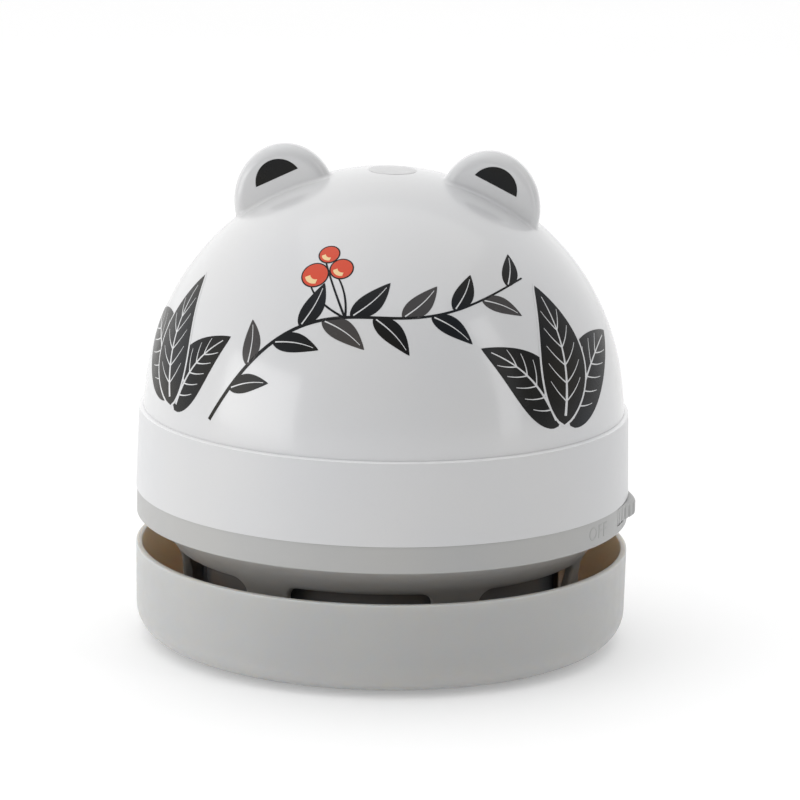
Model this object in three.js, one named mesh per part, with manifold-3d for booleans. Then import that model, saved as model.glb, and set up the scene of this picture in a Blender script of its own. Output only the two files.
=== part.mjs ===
// Desktop mini vacuum cleaner: an open base cup, a dust drum that stands in it,
// and a motor housing with a windowed neck that drops over the drum. A dome with
// two round ears covers the battery bay. Millimetres, +Z up, front is -Y,
// origin at the centre of the footprint.
import * as THREE from 'three';
import { mergeVertices } from 'three/addons/utils/BufferGeometryUtils.js';
import Module from 'manifold-3d';

const wasm = await Module();
wasm.setup();

// ---------------------------------------------------------------- dimensions
const GAP = 0.3;                 // clearance between neighbouring pieces
const SEG = 40;                  // steps round the large turned pieces
const SEG_S = 24;                // steps round the medium ones

// base cup
const CUP_R = 43.9;              // rim radius
const CUP_R_LOW = 43.7;          // radius just above the bottom round
const CUP_RIM_Z = 16.9;
const CUP_UNDER_Z = 0.5;         // underside, just clear of the desk
const CUP_FLOOR_Z = 2.5;
const CUP_ROUND = 5.3;           // bottom edge round
const CUP_WALL = 1.1;              // at the rim; the inside tapers to a thicker foot
const INLET_R = 11.5;            // suction mouth
const COLLAR_R = 13.1;           // outside of the collar round the mouth
const COLLAR_TOP_Z = 9.0;
const BRUSH_IN = 13.9;           // groove for the bristle ring
const BRUSH_OUT = 21.1;
const BRUSH_ROOF_Z = 3.1;
const MOUTH_R = 22.0;            // body of the suction mouth, under its flange
const SPIGOT_IN = 32.4;          // ring that centres the neck
const SPIGOT_OUT = 33.6;
const SPIGOT_TOP_Z = 5.6;
const PAD_R = 3.0;
const PAD_RING = 34.0;
const PAD_TOP_Z = 0.9;

// dust drum
const DRUM_R = 32.0;
const DRUM_WALL = 1.4;
const DRUM_FOOT_Z = 2.8;
const DRUM_TOP_Z = 17.3;
const TUBE_IN = 13.4;            // inlet tube standing in the drum
const TUBE_OUT = 14.8;
const TUBE_TOP_Z = 13.5;

// lower housing: neck, flare, ring
const NECK_OUT = 35.5;
const NECK_IN = 33.9;
const NECK_FOOT_Z = 2.8;
// three windows in front and three behind; the posts at the switch and opposite it are wider
const WINDOW_TURNS = [0, 55.2, 124.8, 180, 235.2, 304.8];
const WINDOW_W = 24.9;
const WINDOW_LOW_Z = 6.2;
const WINDOW_TOP_Z = 16.8;
const WINDOW_ROUND = 2.3;
const RING_R = 43.85;
const RING_LOW_Z = 22.3;
const RING_TOP_Z = 27.0;
const RING_SPIGOT_R = 41.5;
const RING_SPIGOT_IN = 39.9;
const RING_SPIGOT_TOP = 31.2;

// waist band and dome
const BAND_LOW_Z = 27.3;
const BAND_TOP_Z = 41.9;
const BAND_R_LOW = 44.0;
const BAND_R_TOP = 43.55;
const BAND_IN = 41.8;
const FLANGE_IN = 34.0;
const DOME_R = 42.6;
const DOME_IN = 40.8;
const DOME_Z = 41.9;             // centre of the dome's sphere
const DOME_FOOT_Z = 42.15;
const DOME_SPIGOT_OUT = 41.2;
const DOME_SPIGOT_IN = 39.7;
const DOME_SPIGOT_LOW = 37.0;
const EAR_X = 18.04;
const EAR_Z = 78.35;
const EAR_R = 10.28;
const EAR_SX = 0.88;             // the ears are a little taller than wide
const EAR_Y = -3.6;              // front face
const EAR_T = 4.6;
const EAR_ROUND = 2.0;

// motor deck, motor, fan
const DECK_LOW = 31.5;
const DECK_TOP = 33.5;
const DECK_R = 41.5;
const SCREW_RING = 37.2;
const MOTOR_R = 12.2;
const MOTOR_LOW = 33.8;
const MOTOR_TOP = 46.2;
const SHAFT_R = 1.0;
const FAN_R = 24.0;
const FAN_HUB_R = 3.4;
const FAN_LOW = 22.4;
const FAN_BACK_LOW = 28.8;
const FAN_BACK_TOP = 30.0;
const BLADES = 8;
const SHROUD_LOW = 20.4;
const SHROUD_TOP = 21.6;
const SHROUD_R = 32.2;
const SHROUD_EYE = 12.0;
const SHROUD_POST_RING = 28.4;

// battery bay
const TRAY_LOW = 51.0;
const TRAY_FLOOR = 52.6;
const TRAY_TOP = 61.5;
const TRAY_X = 30.2;
const TRAY_Y = 16.2;
const TRAY_WALL = 1.4;
const TRAY_POST_X = 21.0;
const CELL_R = 7.25;
const CELL_Y = 7.5;
const CELL_Z = TRAY_FLOOR + GAP + CELL_R;

// slide switch
const POCKET_R = 42.75;          // the tab lies in a pocket in the ring
const TAB_IN = POCKET_R + GAP;
const TAB_RISE = 1.5;            // its middle swells this far out of the ring
const TAB_HALF = 12.5;           // degrees
const TAB_LOW = 24.0;
const TAB_TOP = 26.9;
const STEM_HALF = 0.8;
const STEM_LOW = 24.6;
const STEM_TOP = 25.8;
const SWITCH_Y = 2.1;            // middle of the switch body

// ------------------------------------------------------------------- helpers
const deg = THREE.MathUtils.degToRad;

function toSolid(geometry) {
  const g = geometry.clone();
  g.deleteAttribute('normal');
  g.deleteAttribute('uv');
  const m = mergeVertices(g, 1e-4);
  const p = m.attributes.position.array;
  const src = m.index.array;
  const tri = [];
  let volume = 0;
  for (let i = 0; i < src.length; i += 3) {
    const [a, b, c] = [src[i], src[i + 1], src[i + 2]];
    if (a === b || b === c || c === a) continue;
    tri.push(a, b, c);
    const [ax, ay, az] = [p[3 * a], p[3 * a + 1], p[3 * a + 2]];
    const [bx, by, bz] = [p[3 * b], p[3 * b + 1], p[3 * b + 2]];
    const [cx, cy, cz] = [p[3 * c], p[3 * c + 1], p[3 * c + 2]];
    volume += ax * (by * cz - bz * cy) + ay * (bz * cx - bx * cz) + az * (bx * cy - by * cx);
  }
  if (volume < 0) {
    for (let i = 0; i < tri.length; i += 3) [tri[i + 1], tri[i + 2]] = [tri[i + 2], tri[i + 1]];
  }
  return new wasm.Manifold(new wasm.Mesh({
    numProp: 3,
    vertProperties: new Float32Array(p),
    triVerts: new Uint32Array(tri),
  }));
}

function toGeometry(solid) {
  const m = solid.getMesh();
  const n = m.numProp;
  const count = m.vertProperties.length / n;
  const pos = new Float32Array(count * 3);
  for (let i = 0; i < count; i++) {
    for (let k = 0; k < 3; k++) pos[3 * i + k] = m.vertProperties[n * i + k];
  }
  const g = new THREE.BufferGeometry();
  g.setAttribute('position', new THREE.BufferAttribute(pos, 3));
  g.setIndex(new THREE.BufferAttribute(new Uint32Array(m.triVerts), 1));
  g.computeVertexNormals();
  return g;
}

// a turned solid about Z from a profile of [radius, height]; an off-axis profile is a closed loop
function turned(profile, segments = SEG) {
  const pts = profile.map(([r, z]) => new THREE.Vector2(r, z));
  const onAxis = profile[0][0] < 1e-6 && profile[profile.length - 1][0] < 1e-6;
  if (!onAxis) pts.push(pts[0].clone());
  return toSolid(new THREE.LatheGeometry(pts, segments).rotateX(Math.PI / 2));
}

function rod(r, z0, z1, x = 0, y = 0, segments = 20) {
  return toSolid(new THREE.CylinderGeometry(r, r, z1 - z0, segments)
    .rotateX(Math.PI / 2).translate(x, y, (z0 + z1) / 2));
}

function rodX(r, x0, x1, y, z, segments = 24) {
  return toSolid(new THREE.CylinderGeometry(r, r, x1 - x0, segments)
    .rotateZ(Math.PI / 2).translate((x0 + x1) / 2, y, z));
}

function block(x0, x1, y0, y1, z0, z1) {
  return toSolid(new THREE.BoxGeometry(x1 - x0, y1 - y0, z1 - z0)
    .translate((x0 + x1) / 2, (y0 + y1) / 2, (z0 + z1) / 2));
}

// part of a ring between two radii and two angles
function sector(r0, r1, a0, a1, z0, z1, steps = 10) {
  const s = new THREE.Shape();
  s.moveTo(r0 * Math.cos(a0), r0 * Math.sin(a0));
  s.lineTo(r1 * Math.cos(a0), r1 * Math.sin(a0));
  s.absarc(0, 0, r1, a0, a1, false);
  s.lineTo(r0 * Math.cos(a1), r0 * Math.sin(a1));
  s.absarc(0, 0, r0, a1, a0, true);
  return toSolid(new THREE.ExtrudeGeometry(s, { depth: z1 - z0, bevelEnabled: false, curveSegments: steps })
    .translate(0, 0, z0));
}

// an upright rounded rectangle (width across X, height along Z) pushed through along -Y
function cutter(width, z0, z1, round, y0, y1, steps = 3) {
  const s = new THREE.Shape();
  const w = width / 2;
  s.moveTo(-w + round, z0);
  s.lineTo(w - round, z0);
  s.absarc(w - round, z0 + round, round, -Math.PI / 2, 0, false);
  s.lineTo(w, z1 - round);
  s.absarc(w - round, z1 - round, round, 0, Math.PI / 2, false);
  s.lineTo(-w + round, z1);
  s.absarc(-w + round, z1 - round, round, Math.PI / 2, Math.PI, false);
  s.lineTo(-w, z0 + round);
  s.absarc(-w + round, z0 + round, round, Math.PI, 1.5 * Math.PI, false);
  return toSolid(new THREE.ExtrudeGeometry(s, { depth: y1 - y0, bevelEnabled: false, curveSegments: steps })
    .rotateX(Math.PI / 2).translate(0, -y0, 0));
}

// a round wire along a smooth curve through points
function wire(points, r, steps, sides = 6) {
  const curve = new THREE.CatmullRomCurve3(points.map((q) => new THREE.Vector3(...q)), false, 'centripetal');
  const s = new THREE.Shape();
  for (let i = 0; i < sides; i++) {
    const a = (2 * Math.PI * i) / sides;
    if (i === 0) s.moveTo(r * Math.cos(a), r * Math.sin(a));
    else s.lineTo(r * Math.cos(a), r * Math.sin(a));
  }
  s.closePath();
  return toSolid(new THREE.ExtrudeGeometry(s, { steps, bevelEnabled: false, extrudePath: curve }));
}

const turnZ = (solid, a) => solid.rotate([0, 0, THREE.MathUtils.radToDeg(a)]);
const at = (solid, x, y, z) => solid.translate([x, y, z]);
const arc = (cx, cz, r, a0, a1, n) => Array.from({ length: n + 1 }, (_, i) => {
  const a = a0 + ((a1 - a0) * i) / n;
  return [cx + r * Math.cos(a), cz + r * Math.sin(a)];
});

const cleaner = new THREE.Group();
cleaner.name = 'desktop_mini_vacuum';

function finish(color, roughness, metalness = 0) {
  return new THREE.MeshStandardMaterial({ color, roughness, metalness });
}
function add(name, solid, material, parent = cleaner) {
  const mesh = new THREE.Mesh(toGeometry(solid), material);
  mesh.name = name;
  parent.add(mesh);
  return mesh;
}

const whiteGloss = () => finish(0xf0f0f2, 0.18);
const greyPlastic = () => finish(0xc9cac7, 0.5);
const darkPlastic = () => finish(0x3a3b3d, 0.45);
const steel = () => finish(0xb9bcc0, 0.3, 0.9);
const blackRubber = () => finish(0x1d1e20, 0.85);

// --------------------------------------------------------------- base cup
const base = new THREE.Group();
base.name = 'base_group';
cleaner.add(base);

{
  const profile = [
    [MOUTH_R + GAP, CUP_UNDER_Z],
    ...arc(CUP_R_LOW - CUP_ROUND, CUP_UNDER_Z + CUP_ROUND, CUP_ROUND, -Math.PI / 2, 0, 4),
    [CUP_R, CUP_RIM_Z - 0.3], [CUP_R - 0.3, CUP_RIM_Z],
    [CUP_R - CUP_WALL + 0.25, CUP_RIM_Z], [CUP_R - CUP_WALL, CUP_RIM_Z - 0.25],
    ...arc(CUP_R_LOW - CUP_ROUND, CUP_FLOOR_Z + 3.5, 3.5, 0, -Math.PI / 2, 2),
    [SPIGOT_OUT, CUP_FLOOR_Z], [SPIGOT_OUT, SPIGOT_TOP_Z], [SPIGOT_IN, SPIGOT_TOP_Z], [SPIGOT_IN, CUP_FLOOR_Z],
    [MOUTH_R + GAP, CUP_FLOOR_Z],
  ];
  let cup = turned(profile);
  for (let i = 0; i < 4; i++) {
    const a = deg(45 + 90 * i);
    const x = PAD_RING * Math.cos(a);
    const y = PAD_RING * Math.sin(a);
    cup = cup.subtract(rod(PAD_R + GAP, -1, PAD_TOP_Z + GAP, x, y, 16));
    add(`glide_pad_${i + 1}`, rod(PAD_R, 0, PAD_TOP_Z, x, y, 16), blackRubber(), base);
  }
  add('base_cup', cup, greyPlastic(), base);
}
// the suction mouth drops into the cup's floor: brush groove below, collar above
add('suction_mouth', turned([
  [INLET_R, CUP_UNDER_Z], [BRUSH_IN, CUP_UNDER_Z], [BRUSH_IN, BRUSH_ROOF_Z], [BRUSH_OUT, BRUSH_ROOF_Z],
  [BRUSH_OUT, CUP_UNDER_Z], [MOUTH_R, CUP_UNDER_Z], [MOUTH_R, CUP_FLOOR_Z + GAP], [MOUTH_R + 1.0, CUP_FLOOR_Z + GAP],
  [MOUTH_R + 1.0, BRUSH_ROOF_Z + 1.9], [COLLAR_R, BRUSH_ROOF_Z + 1.9], [COLLAR_R, COLLAR_TOP_Z], [INLET_R, COLLAR_TOP_Z],
], 32), greyPlastic(), base);
add('brush_carrier', turned([[14.2, 1.6], [20.8, 1.6], [20.8, 2.8], [14.2, 2.8]], SEG_S), darkPlastic(), base);
add('brush_bristles', turned([[15.4, 0.15], [19.6, 0.15], [19.6, 1.3], [15.4, 1.3]], SEG_S), blackRubber(), base);

// -------------------------------------------------------------- dust drum
const drum = new THREE.Group();
drum.name = 'drum_group';
cleaner.add(drum);

add('dust_drum', turned([
  [27.2, DRUM_FOOT_Z], [DRUM_R, DRUM_FOOT_Z], [DRUM_R, DRUM_TOP_Z], [DRUM_R - DRUM_WALL, DRUM_TOP_Z],
  [DRUM_R - DRUM_WALL, 3.8], [27.2, 3.8],
], SEG), darkPlastic(), drum);
// stepped floor plate, resting on the drum's ledge and clear of the suction mouth below
add('drum_floor', turned([
  [23.3, 3.8 + GAP], [DRUM_R - DRUM_WALL - GAP, 3.8 + GAP], [DRUM_R - DRUM_WALL - GAP, 5.0], [24.7, 5.0], [24.7, 6.7],
  [TUBE_OUT + GAP, 6.7], [TUBE_OUT + GAP, 5.3], [23.3, 5.3],
], SEG), darkPlastic(), drum);
// the tube that carries the air up into the drum; its flange lies on the drum's floor
add('inlet_tube', turned([
  [TUBE_IN, 5.3], [TUBE_OUT, 5.3], [TUBE_OUT, 7.0], [TUBE_OUT + 1.8, 7.0], [TUBE_OUT + 1.8, 7.9], [TUBE_OUT, 7.9],
  [TUBE_OUT, TUBE_TOP_Z], [TUBE_IN, TUBE_TOP_Z],
], 32), darkPlastic(), drum);
{
  let frame = turned([
    [28.9, 15.5], [30.3, 15.5], [30.3, DRUM_TOP_Z + GAP], [DRUM_R, DRUM_TOP_Z + GAP], [DRUM_R, 18.8],
    [27.9, 18.8], [27.9, DRUM_TOP_Z + GAP], [28.9, DRUM_TOP_Z + GAP],
  ], SEG_S);
  for (let i = 0; i < 3; i++) {
    frame = frame.add(turnZ(block(-28.4, 28.4, -0.7, 0.7, DRUM_TOP_Z + GAP + 0.05, 18.75), deg(60 * i)));
  }
  frame = frame.add(rod(3.2, DRUM_TOP_Z + GAP + 0.05, 18.75, 0, 0, 24));
  add('filter_frame', frame, darkPlastic(), drum);
}
add('filter_pad', rod(28.4, 15.7, DRUM_TOP_Z, 0, 0, SEG_S), finish(0xe8e6df, 0.95), drum);
add('drum_seal', turned([[28.3, 19.1], [31.3, 19.1], [31.3, 20.1], [28.3, 20.1]], SEG_S), blackRubber(), drum);

// ---------------------------------------------------------- upper housing
const upper = new THREE.Group();
upper.name = 'upper_group';
cleaner.add(upper);

{
  let housing = turned([
    [NECK_IN, NECK_FOOT_Z], [NECK_OUT, NECK_FOOT_Z], [NECK_OUT, 12.0], [35.9, 14.8], [36.9, 16.9],
    [38.6, 19.2], [40.5, 21.1], [42.2, 22.2], [42.9, RING_LOW_Z], [43.55, 22.75],
    [RING_R, 23.6], [RING_R, RING_TOP_Z], [RING_SPIGOT_R, RING_TOP_Z], [RING_SPIGOT_R, RING_SPIGOT_TOP],
    [RING_SPIGOT_IN, RING_SPIGOT_TOP], [RING_SPIGOT_IN, 23.2], [37.0, 20.0], [35.1, 17.0],
    [NECK_IN, 12.0],
  ]);
  for (const a of WINDOW_TURNS) {
    housing = housing.subtract(turnZ(cutter(WINDOW_W, WINDOW_LOW_Z, WINDOW_TOP_Z, WINDOW_ROUND, 28, 41), deg(a)));
  }
  // screw bosses
  const bore = [];
  for (let i = 0; i < 4; i++) {
    const a = deg(45 + 90 * i);
    const [x, y] = [SCREW_RING * Math.cos(a), SCREW_RING * Math.sin(a)];
    housing = housing.add(rod(3.1, 22.0, RING_SPIGOT_TOP, x, y, 14));
    bore.push(rod(1.5, 24.0, RING_SPIGOT_TOP + 1, x, y, 10));
  }
  for (const b of bore) housing = housing.subtract(b);
  // pocket for the switch tab, open to the band above, and the arc slot for its stem
  housing = housing.subtract(sector(POCKET_R, 45.5, deg(-TAB_HALF - 0.4), deg(TAB_HALF + 6.4), TAB_LOW - GAP, 28, 16));
  housing = housing.subtract(sector(38.5, 45.5, deg(-1.75), deg(7.75), STEM_LOW - GAP, STEM_TOP + GAP, 6));
  add('lower_housing', housing, greyPlastic(), upper);
}

{
  let band = turned([
    [BAND_IN, BAND_LOW_Z], [BAND_R_LOW - 0.15, BAND_LOW_Z], [BAND_R_LOW, BAND_LOW_Z + 0.2],
    [BAND_R_TOP, BAND_TOP_Z - 0.7], [BAND_R_TOP - 0.12, BAND_TOP_Z - 0.22], [BAND_R_TOP - 0.45, BAND_TOP_Z],
    [DOME_SPIGOT_OUT + GAP, BAND_TOP_Z], [DOME_SPIGOT_OUT + GAP, 35.4], [FLANGE_IN, 35.4],
    [FLANGE_IN, DECK_TOP + GAP], [BAND_IN, DECK_TOP + GAP],
  ]);
  for (let i = 0; i < 4; i++) {
    const a = deg(45 + 90 * i);
    band = band.subtract(rod(1.6, 33, 36, SCREW_RING * Math.cos(a), SCREW_RING * Math.sin(a), 10));
  }
  add('band_shell', band, whiteGloss(), upper);
}

{
  let deck = turned([[4.0, DECK_LOW], [DECK_R, DECK_LOW], [DECK_R, DECK_TOP], [4.0, DECK_TOP]]);
  for (const s of [-1, 1]) {
    deck = deck.add(rod(2.8, DECK_TOP - 0.5, TRAY_LOW - GAP, s * TRAY_POST_X, 0, 14));
    deck = deck.subtract(rod(1.2, 42, TRAY_LOW + 1, s * TRAY_POST_X, 0, 10));
    deck = deck.subtract(rod(1.2, DECK_LOW - 1, DECK_TOP + 1, s * 8, 0, 10));
    deck = deck.subtract(rod(2.3, DECK_LOW - 1, DECK_LOW + 1.0, s * 8, 0, 12));
    deck = deck.subtract(rod(2.0, DECK_LOW - 1, DECK_TOP + 1, 29, s * 10.5, 12));
    deck = deck.subtract(rod(1.1, DECK_LOW - 1, DECK_TOP + 1, 35.2, SWITCH_Y + s * 8.4, 10));
  }
  for (let i = 0; i < 4; i++) {
    const a = deg(45 + 90 * i);
    deck = deck.subtract(rod(1.6, DECK_LOW - 1, DECK_TOP + 1, SCREW_RING * Math.cos(a), SCREW_RING * Math.sin(a), 10));
  }
  add('motor_deck', deck, finish(0xdcdcda, 0.55), upper);
}

// a screw pointing down: shank from z0 to z1, domed head above
function screw(x, y, z0, z1, shank, head, headH) {
  const s = turned([[0, z0], [shank * 0.6, z0], [shank, z0 + 1.0], [shank, z1], [head, z1], [head, z1 + headH * 0.5],
    [head * 0.7, z1 + headH], [0, z1 + headH]], 10);
  return at(s, x, y, 0);
}
for (let i = 0; i < 4; i++) {
  const a = deg(45 + 90 * i);
  add(`deck_screw_${i + 1}`, screw(SCREW_RING * Math.cos(a), SCREW_RING * Math.sin(a), 25.0, 35.7, 1.15, 2.4, 1.5), steel(), upper);
}

{
  // inlet plate with a rolled eye, carried by four posts under the deck
  let shroud = turned([
    [SHROUD_EYE + 1.2, SHROUD_LOW], [SHROUD_R, SHROUD_LOW], [SHROUD_R, SHROUD_TOP], [SHROUD_EYE + 1.2, SHROUD_TOP],
    [SHROUD_EYE, SHROUD_TOP - 0.6],
  ], SEG_S);
  for (let i = 0; i < 4; i++) {
    const a = deg(45 + 90 * i);
    shroud = shroud.add(rod(1.9, SHROUD_TOP - 0.4, DECK_LOW - GAP, SHROUD_POST_RING * Math.cos(a), SHROUD_POST_RING * Math.sin(a), 10));
  }
  add('fan_shroud', shroud, darkPlastic(), upper);
}

{
  let can = turned([
    [0, MOTOR_TOP], [MOTOR_R - 0.3, MOTOR_TOP], [MOTOR_R, MOTOR_TOP - 0.4], [MOTOR_R, MOTOR_LOW + 0.8],
    [MOTOR_R - 0.8, MOTOR_LOW], [3.2, MOTOR_LOW], [3.2, MOTOR_LOW - 1.3], [0, MOTOR_LOW - 1.3],
  ], SEG_S);
  can = can.subtract(rod(SHAFT_R + GAP, MOTOR_LOW - 3, MOTOR_TOP - 1.2, 0, 0, 16));
  for (const s of [-1, 1]) can = can.subtract(rod(1.1, MOTOR_LOW - 1, MOTOR_LOW + 3.2, s * 8, 0, 16));
  add('motor_can', can, finish(0xa9adb2, 0.32, 0.9), upper);
}
{
  let cap = turned([[0, MOTOR_TOP + GAP], [MOTOR_R - 0.9, MOTOR_TOP + GAP], [MOTOR_R - 0.9, 47.6], [MOTOR_R - 1.4, 48.0],
    [2.6, 48.0], [2.6, 48.9], [0, 48.9]], SEG_S);
  for (const s of [-1, 1]) cap = cap.add(block(s * 7.2 - 0.3, s * 7.2 + 0.3, -1.2, 1.2, 47.8, 49.2));
  add('motor_end_cap', cap, finish(0xe9e9e4, 0.6), upper);
}
for (const s of [-1, 1]) {
  const sc = turned([[0, DECK_LOW], [1.9, DECK_LOW], [1.9, DECK_LOW + 0.7], [0.85, DECK_LOW + 0.7], [0.85, MOTOR_LOW + 2.6],
    [0, MOTOR_LOW + 2.6]], 10);
  add(`motor_screw_${s < 0 ? 1 : 2}`, at(sc, s * 8, 0, 0), steel(), upper);
}

// battery tray: an open box with end-wall notches for the leads
{
  let tray = block(-TRAY_X, TRAY_X, -TRAY_Y, TRAY_Y, TRAY_LOW, TRAY_TOP)
    .subtract(block(-TRAY_X + TRAY_WALL, TRAY_X - TRAY_WALL, -TRAY_Y + TRAY_WALL, TRAY_Y - TRAY_WALL, TRAY_FLOOR, TRAY_TOP + 1));
  // finger scoops in the long walls
  for (const s of [-1, 1]) {
    tray = tray.subtract(toSolid(new THREE.CylinderGeometry(9, 9, 4, 28).translate(0, s * TRAY_Y, TRAY_TOP + 3.5)));
    tray = tray.subtract(rod(1.2, TRAY_LOW - 1, TRAY_FLOOR + 1, s * TRAY_POST_X, 0, 16));
    tray = tray.subtract(block(TRAY_X - 3, TRAY_X + 1, s * CELL_Y - 1.5, s * CELL_Y + 1.5, TRAY_FLOOR + 0.4, TRAY_FLOOR + 3.8));
  }
  // low rib between the cells
  tray = tray.add(block(-13, 13, -0.6, 0.6, TRAY_FLOOR - 0.4, TRAY_FLOOR + 2.4));
  add('battery_tray', tray, finish(0x2b2c2e, 0.5), upper);
}
for (const s of [-1, 1]) {
  add(`tray_screw_${s < 0 ? 1 : 2}`, screw(s * TRAY_POST_X, 0, 43.5, TRAY_FLOOR + GAP, 0.9, 2.0, 1.3), steel(), upper);
  // cells: 50.5 long over the button, facing opposite ways
  let cell = rodX(CELL_R, -s * 1.9 - 24.6, -s * 1.9 + 24.6, -s * CELL_Y, CELL_Z, 24);
  cell = s > 0
    ? cell.add(rodX(2.7, -1.9 - 25.9, -1.9 - 24.5, -CELL_Y, CELL_Z, 12))
    : cell.add(rodX(2.7, 1.9 + 24.5, 1.9 + 25.9, CELL_Y, CELL_Z, 12));
  add(`battery_${s < 0 ? 1 : 2}`, cell, finish(s < 0 ? 0x2f4f3a : 0x2f4f3a, 0.35, 0.2), upper);
}

// contacts: thin upright plates with rounded tops, at the tray's ends
function plate(y0, y1, x0, x1) {
  const r = 2.0;
  const [z0, z1] = [TRAY_FLOOR + GAP, 64.5];
  const s = new THREE.Shape();
  s.moveTo(y0, z0);
  s.lineTo(y1, z0);
  s.lineTo(y1, z1 - r);
  s.absarc(y1 - r, z1 - r, r, 0, Math.PI / 2, false);
  s.lineTo(y0 + r, z1);
  s.absarc(y0 + r, z1 - r, r, Math.PI / 2, Math.PI, false);
  // the shape lies in XY; stand it up so that its X is the object's Y and its Y is Z
  const g = new THREE.ExtrudeGeometry(s, { depth: x1 - x0, bevelEnabled: false, curveSegments: 4 });
  g.applyMatrix4(new THREE.Matrix4().set(0, 0, 1, x0, 1, 0, 0, 0, 0, 1, 0, 0, 0, 0, 0, 1));
  return toSolid(g);
}
add('contact_bridge', plate(-13.6, 13.6, -28.5, -28.1), steel(), upper);
add('contact_positive', plate(1.6, 13.6, 28.1, 28.5), steel(), upper);
add('contact_negative', plate(-13.6, -1.6, 28.1, 28.5), steel(), upper);
{
  // conical springs press on the flat ends of the cells
  const spring = (x0, x1, y) => {
    const pts = [];
    const n = 40;
    const turns = 3.5;
    for (let i = 0; i <= n; i++) {
      const t = i / n;
      const a = 2 * Math.PI * turns * t;
      const r = 4.9 - 2.3 * t;
      pts.push([x0 + (x1 - x0) * t, y + r * Math.cos(a), CELL_Z + r * Math.sin(a)]);
    }
    return wire(pts, 0.34, 34, 5);
  };
  add('contact_spring_1', spring(-27.4, -23.3, CELL_Y), steel(), upper);
  add('contact_spring_2', spring(27.4, 23.3, -CELL_Y), steel(), upper);
}

// slide switch under the deck, its lever facing the ring wall
{
  const [x0, x1] = [31.2, 36.0];
  let body = block(x0, x1, SWITCH_Y - 6.5, SWITCH_Y + 6.5, 24.4, 30.4)
    .add(block(33.2, x1 + 1.0, SWITCH_Y - 10.2, SWITCH_Y + 10.2, 30.0, 31.2));
  for (const s of [-1, 1]) body = body.subtract(rod(1.2, 29, 32, 35.2, SWITCH_Y + s * 8.4, 16));
  body = body.subtract(block(34.2, x1 + 1, -1.7, 5.9, 26.6, 28.4));
  for (const s of [-1, 0, 1]) body = body.add(block(x0 - 1.6, x0 + 0.5, SWITCH_Y + s * 3.4 - 0.6, SWITCH_Y + s * 3.4 + 0.6, 27.2, 27.6));
  add('switch_body', body, finish(0x8f9396, 0.35, 0.7), upper);
}
for (const s of [-1, 1]) {
  const sc = turned([[0, 28.3], [1.5, 28.5], [1.8, 29.1], [1.8, 29.7], [0.85, 29.7], [0.85, 33.2], [0, 33.2]], 10);
  add(`switch_screw_${s < 0 ? 1 : 2}`, at(sc, 35.2, SWITCH_Y + s * 8.4, 0), steel(), upper);
}

// leads
const red = () => finish(0xb3261e, 0.5);
const black = () => finish(0x17181a, 0.5);
add('wire_battery_to_switch', wire([
  [28.9, CELL_Y, 54.4], [30.6, CELL_Y, 54.4], [32.8, 8.4, 52.4], [33.2, 9.8, 47.5], [31.0, 10.5, 40], [29, 10.5, 34.5],
  [29, 10.5, 31], [28.2, 8.6, 28.8], [28.3, 6.4, 27.4], [29.2, 5.5, 27.4],
], 0.6, 20, 6), red(), upper);
add('wire_switch_to_motor', wire([
  [29.2, -1.3, 27.4], [28.2, -2.6, 27.4], [27.7, -6.0, 28.6], [28.8, -10.2, 31], [29, -10.5, 34], [27, -11, 40],
  [20, -10.5, 45.5], [13.5, -6.5, 49.2], [9.5, -2.5, 49.6], [7.9, -0.6, 48.9],
], 0.6, 20, 6), red(), upper);
add('wire_motor_to_battery', wire([
  [-7.9, -0.6, 48.9], [-9.5, -3.5, 49.6], [-9.0, -12, 49.0], [0, -20, 46.5], [14, -23.5, 46], [26, -18, 47.5],
  [32.6, -10.5, 50.5], [32.6, -8.0, 53.2], [30.6, -CELL_Y, 54.4], [28.9, -CELL_Y, 54.4],
], 0.6, 24, 6), black(), upper);

// ------------------------------------------------------------------ rotor
const rotor = new THREE.Group();
rotor.name = 'rotor_group';
cleaner.add(rotor);

add('motor_shaft', rod(SHAFT_R, 22.9, MOTOR_TOP - 1.5, 0, 0, 16), steel(), rotor);
{
  let fan = turned([
    [SHAFT_R + GAP, FAN_LOW + 0.3], [FAN_HUB_R, FAN_LOW + 0.3], [FAN_HUB_R + 0.6, FAN_BACK_LOW - 2], [6.0, FAN_BACK_LOW],
    [FAN_R, FAN_BACK_LOW], [FAN_R, FAN_BACK_TOP], [SHAFT_R + GAP, FAN_BACK_TOP],
  ], SEG_S);
  const s = new THREE.Shape();
  const n = 7;
  const mid = (t) => ({ r: 7.5 + (FAN_R - 0.4 - 7.5) * t, a: -deg(52) * t * (0.75 + 0.25 * t) });
  const side = (t, k) => {
    const p = mid(t);
    const q = mid(t + 0.01);
    const [x, y] = [p.r * Math.cos(p.a), p.r * Math.sin(p.a)];
    const [dx, dy] = [q.r * Math.cos(q.a) - x, q.r * Math.sin(q.a) - y];
    const l = Math.hypot(dx, dy);
    return [x - (k * 0.5 * dy) / l, y + (k * 0.5 * dx) / l];
  };
  for (let i = 0; i <= n; i++) {
    const [x, y] = side(i / n, 1);
    if (i === 0) s.moveTo(x, y);
    else s.lineTo(x, y);
  }
  for (let i = n; i >= 0; i--) s.lineTo(...side(i / n, -1));
  s.closePath();
  const blade = toSolid(new THREE.ExtrudeGeometry(s, { depth: FAN_BACK_LOW + 0.4 - FAN_LOW, bevelEnabled: false })
    .translate(0, 0, FAN_LOW));
  for (let i = 0; i < BLADES; i++) fan = fan.add(turnZ(blade, (2 * Math.PI * i) / BLADES));
  add('fan_impeller', fan, finish(0xd9dadc, 0.4), rotor);
}

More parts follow.
